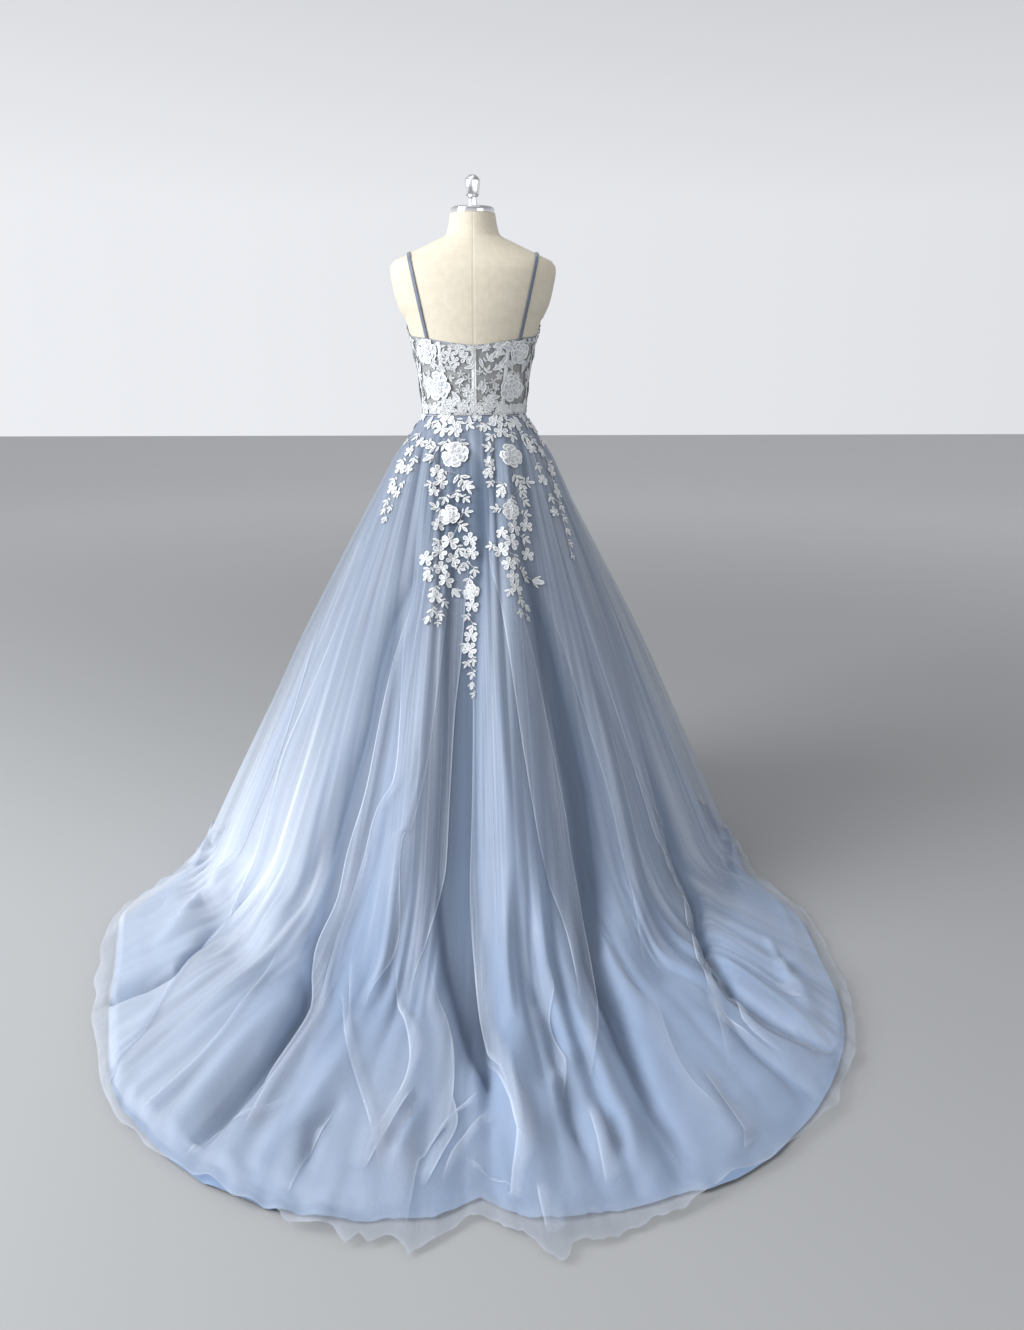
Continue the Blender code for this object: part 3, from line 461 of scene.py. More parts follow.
@dataclass(frozen=True)
class WovenFinish:
    """Plain-woven cloth such as linen, tape or ribbon, with threads both ways."""

    name: str
    thread: Colour
    shadow: Colour
    threads_per_metre: float
    roughness: float = 0.8
    sheen: float = 0.2
    seams: bool = False

    def build(self) -> bpy.types.Material:
        """Builds the material."""
        graph = MaterialGraph(self.name)
        flat = graph.flat_place()
        scale = self.threads_per_metre / 20
        weave = graph.waves(flat, scale, "X", 0.6) * graph.waves(flat, scale, "Y", 0.6)
        slub = graph.noise(flat, 60.0, 4.0)
        blotch = graph.noise(graph.place(), 7.0, 3.0)
        shade = graph.mix(weave * 0.5 + slub.above(0.5, 0.4) * 0.35, self.shadow, self.thread)
        shade = graph.mix(blotch.above(0.5, 0.5) * 0.18, shade, self.shadow)
        height = weave * 0.5 + slub * 0.5
        if self.seams:
            seam = graph.marked("seam")
            shade = graph.mix(seam * 0.45, shade, self.shadow)
            height = height - seam * 1.6
        graph.surface(Base_Color=shade, Roughness=self.roughness, Normal=graph.bump(height, 0.0005, 0.6))
        graph.surface(Sheen_Weight=self.sheen, Sheen_Roughness=0.45, Specular_IOR_Level=0.25)
        return graph.material


@dataclass(frozen=True)
class MetalFinish:
    """Bare or painted metal with faint smears."""

    name: str
    colour: Colour
    roughness: float
    metallic: float
    coat: float = 0.0

    def build(self) -> bpy.types.Material:
        """Builds the material."""
        graph = MaterialGraph(self.name)
        where = graph.place()
        smear = graph.noise(where, 45.0, 4.0)
        rough = self.roughness + smear.above(0.5, 0.5) * 0.07
        fine = graph.noise(where, 800.0, 2.0)
        graph.surface(Base_Color=self.colour, Roughness=rough, Metallic=self.metallic)
        graph.surface(Coat_Weight=self.coat, Coat_Roughness=0.15, Normal=graph.bump(fine, 0.0001, 0.15))
        return graph.material


@dataclass(frozen=True)
class FloorFinish:
    """Plain pale floor, with painted light that leaves it darker near the gown and paler towards the horizon.
    """

    name: str = "studio_floor"
    near: Colour = (0.38, 0.385, 0.39)
    far: Colour = (0.78, 0.785, 0.79)

    def build(self) -> bpy.types.Material:
        """Builds the material."""
        graph = MaterialGraph(self.name)
        across, along_floor, _ = graph.parts(graph.place())
        away = (across * across + along_floor * along_floor) ** 0.5
        # Painted light: darker near the middle, paler with distance.
        shade = graph.mix(away.above(4.2, 6.0), self.near, self.far)
        grain = graph.noise(graph.place(), 3.0, 2.0)
        shade = graph.mix(grain * 0.06, shade, self.near)
        graph.surface(Base_Color=shade, Roughness=0.85, Specular_IOR_Level=0.1)
        return graph.material


def finish_piece(
    piece: bpy.types.Object,
    material: bpy.types.Material,
    nodes: Sequence[str] = (),
    body: str = GOWN,
) -> bpy.types.Object:
    """Dresses a piece and ties it to its body and the nodes it stands for.

    Args:
        piece: The finished piece.
        material: Its finish.
        nodes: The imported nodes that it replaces.
        body: The body that it rides on.

    Returns:
        The same piece.
    """
    piece.data.materials.clear()
    piece.data.materials.append(material)
    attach(piece, body)
    if nodes:
        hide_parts(*nodes)
    piece.data.calc_loop_triangles()
    LOG.info("%s: %d triangles", piece.name, len(piece.data.loop_triangles))
    return piece


def piece_from(name: str, bm: bmesh.types.BMesh, flat_angle: float = 180.0) -> bpy.types.Object:
    """Makes an object of a bmesh.

    Args:
        name: The piece's name.
        bm: Its mesh, which is freed.
        flat_angle: Edges sharper than this many degrees stay sharp.

    Returns:
        The object, linked to the scene.
    """
    mesh = bpy.data.meshes.new(name)
    bm.to_mesh(mesh)
    bm.free()
    mesh.shade_smooth()
    if flat_angle < 180:
        mesh.set_sharp_from_angle(angle=math.radians(flat_angle))
    piece = bpy.data.objects.new(name, mesh)
    bpy.context.scene.collection.objects.link(piece)
    return piece


Mapping = Callable[[np.ndarray, np.ndarray], tuple[np.ndarray, np.ndarray, dict[str, np.ndarray]]]


def mapped_grid(
    bm: bmesh.types.BMesh, across: int, down: int, mapping: Mapping, inside_out: bool = False
) -> None:
    """Adds a grid whose corners run over the unit square and go where the mapping puts them.

    Args:
        bm: The bmesh to add to.
        across: How many faces across.
        down: How many faces down.
        mapping: Turns arrays u and v into places, flat places and marks.
        inside_out: Whether to turn the faces over.
    """
    first = len(bm.verts)
    made = bmesh.ops.create_grid(bm, x_segments=across, y_segments=down, size=1.0)["verts"]
    u = np.array([vert.co.x for vert in made]) * 0.5 + 0.5
    v = np.array([vert.co.y for vert in made]) * 0.5 + 0.5
    places, flats, marks = mapping(u, v)
    cut = bm.loops.layers.uv.get("cut") or bm.loops.layers.uv.new("cut")
    layers = {name: bm.verts.layers.float.get(name) or bm.verts.layers.float.new(name) for name in marks}
    bm.verts.ensure_lookup_table()
    made = bm.verts[first:]
    for k, vert in enumerate(made):
        vert.co = places[k]
        for name, values in marks.items():
            vert[layers[name]] = values[k]
    index = {vert: k for k, vert in enumerate(made)}
    faces = {face for vert in made for face in vert.link_faces}
    for face in faces:
        for loop in face.loops:
            loop[cut].uv = flats[index[loop.vert]]
    if inside_out:
        bmesh.ops.reverse_faces(bm, faces=list(faces))


def cloth_axes(normal: Vector) -> tuple[Vector, Vector]:
    """The ways up and right on a cloth that faces along a normal."""
    up = (Vector((0, 0, 1)) - normal * normal.z).normalized()
    return up, up.cross(normal)


def join_seams(bm: bmesh.types.BMesh, fill: bool = False) -> None:
    """Joins a wrapped grid where its edges meet, may fill its open ends, and turns its faces outward."""
    bmesh.ops.remove_doubles(bm, verts=bm.verts, dist=SEAM_GAP)
    if fill:
        bmesh.ops.holes_fill(bm, edges=[edge for edge in bm.edges if edge.is_boundary])
    bmesh.ops.recalc_face_normals(bm, faces=bm.faces)


def mapped_piece(
    name: str, size: tuple[int, int], mapping: Mapping, wrap: bool = False, fill: bool = False,
    flat_angle: float = 180.0,
) -> bpy.types.Object:
    """Makes a piece of one mapped grid.

    Args:
        name: The piece's name.
        size: How many faces it has across and down.
        mapping: Puts its corners in their places.
        wrap: Whether its edges meet and are joined.
        fill: Whether its open ends are closed too.
        flat_angle: Edges sharper than this many degrees stay sharp.

    Returns:
        The object, linked to the scene.
    """
    bm = bmesh.new()
    mapped_grid(bm, *size, mapping)
    if wrap:
        join_seams(bm, fill)
    return piece_from(name, bm, flat_angle)


def turned(name: str, profile: Sequence[tuple[float, float]], base: float, steps: int) -> bpy.types.Object:
    """A solid spun about the Z axis.

    Args:
        name: The piece's name.
        profile: Heights and radii, from the bottom up, that start and end on the axis.
        base: Height that the profile starts from.
        steps: How many sides it has.

    Returns:
        The finished solid.
    """
    bm = bmesh.new()
    line = [bm.verts.new((radius, 0, base + height)) for height, radius in profile]
    edges = [bm.edges.new(pair) for pair in zip(line, line[1:])]
    bmesh.ops.spin(bm, geom=line + edges, axis=(0, 0, 1), cent=(0, 0, 0), steps=steps,
                   angle=2 * math.pi, use_merge=True)
    join_seams(bm)
    return piece_from(name, bm, 35.0)


@dataclass(frozen=True)
class PhotoView:
    """The photograph's camera, and rays through its pixels."""

    width: int = 1024
    height: int = 1330
    focal_px: float = 1200.0
    distance: float = 2.8407
    eye_height: float = 1.2258
    pitch: float = 15.0
    yaw: float = 1.766
    sensor_mm: float = 36.0

    def turn(self) -> Matrix:
        """The camera's rotation."""
        level = Matrix.Rotation(math.radians(180 - self.yaw), 4, "Z")
        return level @ Matrix.Rotation(math.radians(90 - self.pitch), 4, "X")

    def ray(self, pixel: Pixel) -> tuple[Vector, Vector]:
        """The eye, and the direction through a pixel."""
        across = (pixel[0] - self.width / 2) / self.focal_px
        down = (pixel[1] - self.height / 2) / self.focal_px
        return Vector((0, self.distance, self.eye_height)), self.turn().to_3x3() @ Vector((across, -down, -1))

    def build(self) -> None:
        """Makes the camera and sets it as the scene's."""
        data = bpy.data.cameras.new("photo_view")
        data.sensor_width = self.sensor_mm
        data.lens = self.sensor_mm * self.focal_px / self.height
        camera = bpy.data.objects.new("photo_view", data)
        camera.matrix_world = Matrix.Translation((0, self.distance, self.eye_height)) @ self.turn()
        bpy.context.scene.collection.objects.link(camera)
        bpy.context.scene.camera = camera


@dataclass(frozen=True)
class Studio:
    """The floor, the backdrop's glow and the lights."""

    window_watts: float = 235.0
    fill_watts: float = 21.0
    ceiling_watts: float = 14.0
    glow: float = 0.45
    window_glow: float = 0.14
    horizon_glow: float = 0.40

    def build(self) -> None:
        """Builds the stage and the lights."""
        bm = bmesh.new()
        bmesh.ops.create_grid(bm, x_segments=2, y_segments=2, size=14.0)
        floor = piece_from("studio_floor", bm)
        floor.data.materials.append(FloorFinish().build())
        world = bpy.data.worlds.new("studio")
        bpy.context.scene.world = world
        world.use_nodes = True
        self.light_world(world.node_tree)
        self.panel("window", (3.5, 1.7, 2.5), (0.0, 0.5, 0.35), 2.6, self.window_watts, (0.97, 0.985, 1.0))
        self.panel("fill", (-2.6, 3.0, 2.0), (0.0, 0.2, 0.7), 2.2, self.fill_watts, (1.0, 0.985, 0.96))
        self.panel("ceiling", (0.3, 0.4, 3.6), (0.0, 0.3, 0.4), 2.4, self.ceiling_watts, (1.0, 1.0, 1.0))
        bpy.context.scene.view_settings.view_transform = "Standard"

    def light_world(self, tree: bpy.types.NodeTree) -> None:
        """Lights the surroundings, brighter towards the window's side and the horizon."""
        background = tree.nodes["Background"]
        background.inputs["Color"].default_value = (0.94, 0.96, 1.0, 1.0)
        place = tree.nodes.new("ShaderNodeTexCoord")
        parts = tree.nodes.new("ShaderNodeSeparateXYZ")
        tree.links.new(place.outputs["Generated"], parts.inputs[0])
        total = None
        for axis, low, high, least, most in (
            ("X", -1.0, 1.0, -self.window_glow, self.window_glow), ("Z", 0.10, 0.50, self.horizon_glow, 0.0),
        ):
            ramp = tree.nodes.new("ShaderNodeMapRange")
            ramp.inputs["From Min"].default_value, ramp.inputs["From Max"].default_value = low, high
            ramp.inputs["To Min"].default_value, ramp.inputs["To Max"].default_value = least, most
            tree.links.new(parts.outputs[axis], ramp.inputs["Value"])
            both = tree.nodes.new("ShaderNodeMath")
            both.inputs[1].default_value = self.glow
            if total is not None:
                tree.links.new(total, both.inputs[1])
            tree.links.new(ramp.outputs[0], both.inputs[0])
            total = both.outputs[0]
        tree.links.new(total, background.inputs["Strength"])

    def panel(
        self, name: str, place: Sequence[float], aim: Sequence[float], size: float, watts: float,
        colour: Colour,
    ) -> None:
        """Adds one soft square light panel.

        Args:
            name: The light's name.
            place: Where it stands.
            aim: What it faces.
            size: Its side, in metres.
            watts: Its power.
            colour: Its colour.
        """
        data = bpy.data.lights.new(name, "AREA")
        data.shape = "SQUARE"
        data.size = size
        data.energy = watts
        data.color = colour
        light = bpy.data.objects.new(name, data)
        heading = Vector(aim) - Vector(place)
        light.matrix_world = Matrix.Translation(place) @ heading.to_track_quat("-Z", "Y").to_matrix().to_4x4()
        bpy.context.scene.collection.objects.link(light)


@dataclass
class FormShape:
    """The dress form's smooth surface."""

    bust_out: float = 0.022
    bust_x: float = 0.076
    bust_z: float = 1.242
    bust_wide: float = 0.048
    bust_tall: float = 0.055
    steps: int = 600
    heights: np.ndarray = field(init=False)
    columns: np.ndarray = field(init=False)

    def __post_init__(self) -> None:
        """Reads the sections' smooth curves at close steps."""
        self.heights = np.linspace(FORM_SECTIONS[0][0], FORM_SECTIONS[-1][0], self.steps)
        self.columns = np.array([[along(FORM_SECTIONS, z, k) for z in self.heights] for k in (1, 2, 3)])

    def radius(self, azimuth: np.ndarray, z: np.ndarray) -> np.ndarray:
        """Distances from the axis to the surface at azimuths and heights."""
        half_width, front, back = (np.interp(z, self.heights, column) for column in self.columns)
        across, ahead = np.sin(np.radians(azimuth)), np.cos(np.radians(azimuth))
        depth = np.where(ahead >= 0, back, front)
        radius = 1 / np.hypot(across / half_width, ahead / depth)
        x = np.abs(radius * across)
        off_wide, off_tall = (x - self.bust_x) / self.bust_wide, (z - self.bust_z) / self.bust_tall
        bust = np.exp(-(off_wide**2) - off_tall**2)
        return radius + self.bust_out * bust * np.sqrt(np.maximum(0.0, -ahead))

    def places(self, azimuth: np.ndarray, z: np.ndarray, out: np.ndarray | float) -> np.ndarray:
        """Places out from the surface, level with the heights."""
        azimuth, z = np.broadcast_arrays(np.asarray(azimuth, float), np.asarray(z, float))
        radius = self.radius(azimuth, z) + out
        turn = np.radians(azimuth)
        return np.stack([radius * np.sin(turn), radius * np.cos(turn), z], axis=-1)

    def azimuth_at(self, x: float, z: float, behind: bool) -> float:
        """The azimuth on the back or the front where the surface is x from its middle plane."""
        low, high = (0.0, 90.0) if behind else (90.0, 180.0)
        for _ in range(40):
            middle = (low + high) / 2
            over = self.places(middle, z, 0.0)[0] > x
            if over == behind:
                high = middle
            else:
                low = middle
        return (low + high) / 2


@dataclass
class SkirtShape:
    """The smooth surface that the skirts hang on, read by waist azimuth and by row.

    Row 0 is the waist, 1 the start and 2 the end of the bend onto the floor, 3 the lining's hem and
    4 the tulle's hem.
    """

    form: FormShape
    lining_hem: float = 0.958
    lookup_size: tuple[int, int] = (220, 100)
    lookup_reach: float = 125.0
    lookup_lift: float = 0.012
    waist_ease: float = 0.05
    samples: np.ndarray = field(init=False)
    grain: np.ndarray = field(init=False)
    hem_share: np.ndarray = field(init=False)
    lookup: BVHTree = field(init=False)
    lookup_corners: list = field(init=False)
    lookup_places: np.ndarray = field(init=False)
    lookup_triangles: list = field(init=False)

    def __post_init__(self) -> None:
        """Reads the grain tables at close steps and builds the surface that rays are sent to."""
        self.samples = np.linspace(-180, 180, 1441)
        columns = []
        for azimuth in self.samples:
            table = GRAIN_LEFT if azimuth >= 0 else GRAIN_RIGHT
            hem, distance, spread, knee = (along(table, abs(azimuth), k) for k in (1, 2, 3, 4))
            columns.append((math.copysign(hem, azimuth), distance, spread, knee))
        self.grain = np.array(columns).T
        pace = self.metres_per_degree(self.samples, np.full_like(self.samples, 3.0))
        gone = np.concatenate([[0.0], np.cumsum((pace[1:] + pace[:-1]) / 2)])
        self.hem_share = gone / gone[-1]
        across, down = self.lookup_size
        azimuths = np.linspace(-self.lookup_reach, self.lookup_reach, across)
        rows = np.linspace(0, 4, down)
        grid_azimuths, grid_rows = np.meshgrid(azimuths, rows)
        self.lookup_places = self.places(grid_azimuths.ravel(), grid_rows.ravel(), self.lookup_lift)
        self.lookup_corners, self.lookup_triangles = [], []
        for j in range(down - 1):
            for i in range(across - 1):
                k = j * across + i
                for corners in ((k, k + 1, k + across + 1), (k, k + across + 1, k + across)):
                    self.lookup_triangles.append(corners)
                    self.lookup_corners.append([(azimuths[c % across], rows[c // across]) for c in corners])
        self.lookup = BVHTree.FromPolygons([Vector(p) for p in self.lookup_places], self.lookup_triangles)

    def places(self, azimuth: np.ndarray, row: np.ndarray, lift: np.ndarray | float) -> np.ndarray:
        """Places lifted off the smooth surface.

        Args:
            azimuth: Azimuths at the waist.
            row: Rows down the skirt.
            lift: Distances out from the surface.

        Returns:
            One place for each, in metres.
        """
        azimuth, row, lift = np.broadcast_arrays(
            np.asarray(azimuth, float), np.asarray(row, float), np.asarray(lift, float)
        )
        azimuth = wrapped(azimuth)
        hem, distance, spread, knee = (np.interp(azimuth, self.samples, column) for column in self.grain)
        turn, hem_turn = np.radians(azimuth), np.radians(hem)
        waist = self.form.radius(azimuth, np.full_like(azimuth, WAIST_Z))
        start_x, start_y = waist * np.sin(turn), waist * np.cos(turn)
        way_x, way_y = distance * np.sin(hem_turn) - start_x, distance * np.cos(hem_turn) - start_y
        reach = np.hypot(way_x, way_y)
        way_x, way_y = way_x / reach, way_y / reach
        slope = np.arctan(spread)
        bend_start = (WAIST_Z - knee * (1 - np.sin(slope))) * spread
        bend_end = bend_start + knee * np.cos(slope)
        marks = [np.zeros_like(reach), bend_start, bend_end, self.lining_hem * reach, reach]
        gone = np.zeros_like(reach)
        for k in range(4):
            gone = gone + (marks[k + 1] - marks[k]) * np.clip(row - k, 0, 1)
        falls, bends = gone < bend_start, (gone >= bend_start) & (gone < bend_end)
        left = np.clip(bend_end - gone, 0, knee)
        bend_height = knee - np.sqrt(np.maximum(knee**2 - left**2, 0))
        height = np.where(falls, WAIST_Z - gone / spread, np.where(bends, bend_height, 0.0))
        outward = np.where(falls, np.cos(slope), np.where(bends, left / knee, 0.0))
        upward = np.where(falls, np.sin(slope), np.where(bends, (knee - bend_height) / knee, 1.0))
        settled = smooth_step(gone / reach / self.waist_ease)
        outward, upward = outward + (1 - outward) * (1 - settled), upward * settled
        lift = lift / np.hypot(outward, upward)
        return np.stack(
            [
                start_x + way_x * (gone + lift * outward),
                start_y + way_y * (gone + lift * outward),
                height + lift * upward,
            ],
            axis=-1,
        )

    def even_place(self, azimuth: np.ndarray) -> np.ndarray:
        """How far round the hem an azimuth lies, 0 to 1, in even steps of cloth."""
        return np.interp(wrapped(azimuth), self.samples, self.hem_share)

    def metres_per_degree(self, azimuth: np.ndarray, row: np.ndarray) -> np.ndarray:
        """How far apart two places a degree apart at the waist lie, at that row."""
        step = self.places(azimuth + 0.5, row, 0.0) - self.places(azimuth - 0.5, row, 0.0)
        return np.linalg.norm(step, axis=-1)

    def under_pixel(self, view: PhotoView, pixel: Pixel) -> tuple[float, float] | None:
        """The waist azimuth and the row that a pixel of the photograph shows."""
        eye, way = view.ray(pixel)
        hit, _, index, _ = self.lookup.ray_cast(eye, way)
        if hit is None:
            return None
        a, b, c = (Vector(self.lookup_places[k]) for k in self.lookup_triangles[index])
        whole = (b - a).cross(c - a).length
        shares = [(b - hit).cross(c - hit).length / whole, (c - hit).cross(a - hit).length / whole]
        shares.append(1 - sum(shares))
        corners = self.lookup_corners[index]
        return tuple(float(sum(s * corner[k] for s, corner in zip(shares, corners))) for k in (0, 1))


@dataclass(frozen=True)
class Pleat:
    """A run of small uneven folds: how many, how high, and how their valleys are marked."""

    cells: tuple[int, int]
    seed: int
    height: float
    valley_half: float
    valley_share: float

    def rise(self, u: np.ndarray, row: np.ndarray) -> np.ndarray:
        """How high the folds stand, 0 to 1."""
        return np.abs(uneven(u, row / 4, self.cells, self.seed))

    def valley(self, rise: np.ndarray) -> np.ndarray:
        """How deep in a valley a place lies, where the folds stand that high."""
        return self.valley_share * (1 - np.minimum(rise / self.valley_half, 1))


@dataclass(frozen=True)
class Crease:
    """A long trough or ridge, drawn on the photograph from its upper to its lower end."""

    points: tuple[Pixel, ...]
    height: float
    width: float
    top: float = 0.45
    end: float = 0.35


# Troughs and ridges of the skirt as the photograph shows them from behind
PHOTO_CREASES = (
    Crease(((424, 440), (417, 577), (400, 621), (389, 671), (380, 727), (367, 777), (352, 840), (338, 899),
            (325, 936), (307, 1017), (273, 1067), (247, 1098), (215, 1132), (190, 1152)),
           -0.064, 0.032, 0.3, 0.25),
    Crease(((466, 430), (466, 520), (464, 596), (462, 715), (457, 821), (455, 877), (460, 957), (472, 1021),
            (486, 1078), (496, 1130)), -0.096, 0.036, 0.06, 0.30),
    Crease(((505, 430), (524, 559), (542, 634), (560, 715), (577, 790), (589, 884), (592, 965), (611, 1011),
            (624, 1048), (640, 1083), (653, 1112), (672, 1139), (700, 1176)), -0.062, 0.034, 0.25, 0.40),
    Crease(((560, 470), (592, 600), (628, 720), (660, 820), (691, 904), (707, 965), (731, 1000), (771, 1027),
            (836, 1048)), -0.050, 0.030, 0.3, 0.10),
    Crease(((690, 980), (718, 1016), (750, 1052), (806, 1095), (820, 1110)), -0.016, 0.030),
    Crease(((240, 915), (205, 952), (176, 981), (142, 996), (108, 1004)), -0.026, 0.030, 0.3, 0.02),
    Crease(((344, 800), (325, 866), (312, 894), (290, 930)), -0.014, 0.022),
    Crease(((330, 915), (317, 939), (273, 986), (240, 1020)), -0.012, 0.022),
    Crease(((345, 1100), (338, 1117), (315, 1138), (309, 1164), (304, 1190)), -0.014, 0.022),
    Crease(((425, 1090), (417, 1111), (398, 1145), (385, 1175)), -0.014, 0.022),
    Crease(((520, 960), (538, 1005), (552, 1043), (565, 1078)), -0.016, 0.022),
    Crease(((545, 1010), (553, 1060), (568, 1123), (589, 1166), (601, 1200)), -0.018, 0.018),
    Crease(((600, 1110), (611, 1139), (621, 1165)), -0.010, 0.018),
    Crease(((385, 560), (377, 602), (361, 671), (349, 740), (324, 821), (292, 899), (240, 985)),
           0.026, 0.050),
    Crease(((352, 560), (339, 602), (311, 684), (286, 765), (255, 840), (215, 915)), 0.020, 0.040),
    Crease(((482, 540), (488, 634), (502, 759), (516, 852), (530, 960)), 0.032, 0.050),
    Crease(((440, 520), (430, 650), (418, 760), (398, 880), (378, 990)), 0.020, 0.050),
    Crease(((560, 560), (577, 640), (600, 760), (624, 880), (650, 980)), 0.022, 0.044),
    Crease(((496, 1030), (503, 1051), (511, 1091), (520, 1139), (530, 1185)), 0.022, 0.022),
    Crease(((572, 1050), (565, 1078), (552, 1104), (557, 1150)), 0.018, 0.022),
    Crease(((590, 1100), (600, 1131), (611, 1175)), 0.012, 0.018),
    Crease(((622, 1110), (627, 1145), (638, 1193)), 0.012, 0.018),
    Crease(((300, 830), (257, 866), (205, 915), (150, 955)), 0.022, 0.030),
    Crease(((418, 1100), (406, 1140), (392, 1190)), 0.016, 0.020),
    Crease(((360, 1040), (330, 1090), (290, 1140), (250, 1180)), 0.016, 0.034),
    Crease(((760, 940), (790, 990), (826, 1024)), 0.014, 0.028),
    Crease(((680, 1060), (712, 1110), (750, 1150)), 0.014, 0.034),
)
# Folds of the front and sides that the photograph hides: azimuth at the waist, half width in
# degrees, height at the knee and at the hem
HIDDEN_FOLDS = (
    (97, 6.5, 0.024, 0.018), (110, 7, 0.022, 0.020), (125.5, 8.5, 0.026, 0.018), (143, 9, 0.028, 0.022),
    (161, 9, 0.025, 0.024), (180, 10, 0.028, 0.020), (199, 9, 0.026, 0.024), (217, 9, 0.025, 0.020),
    (234.5, 8.5, 0.026, 0.022), (250, 7, 0.022, 0.018), (263, 6.5, 0.022, 0.018),
)


# Row of the lining's hem: azimuth at the waist, row
LINING_HEM = (
    (-180, 3.15), (-110, 3.15), (-95, 3.20), (-80, 3.30), (-72, 3.50), (-65, 3.70), (-57, 3.85), (-52, 3.70),
    (-48, 3.40), (-40, 3.25), (-34, 3.15), (-15, 3.15), (-8, 3.20), (3, 3.20), (13, 3.15), (24, 3.20),
    (33, 3.40), (45, 3.65), (54, 3.85), (62, 3.85), (68, 3.60), (77, 3.35), (82, 3.20), (110, 3.15),
    (180, 3.15),
)


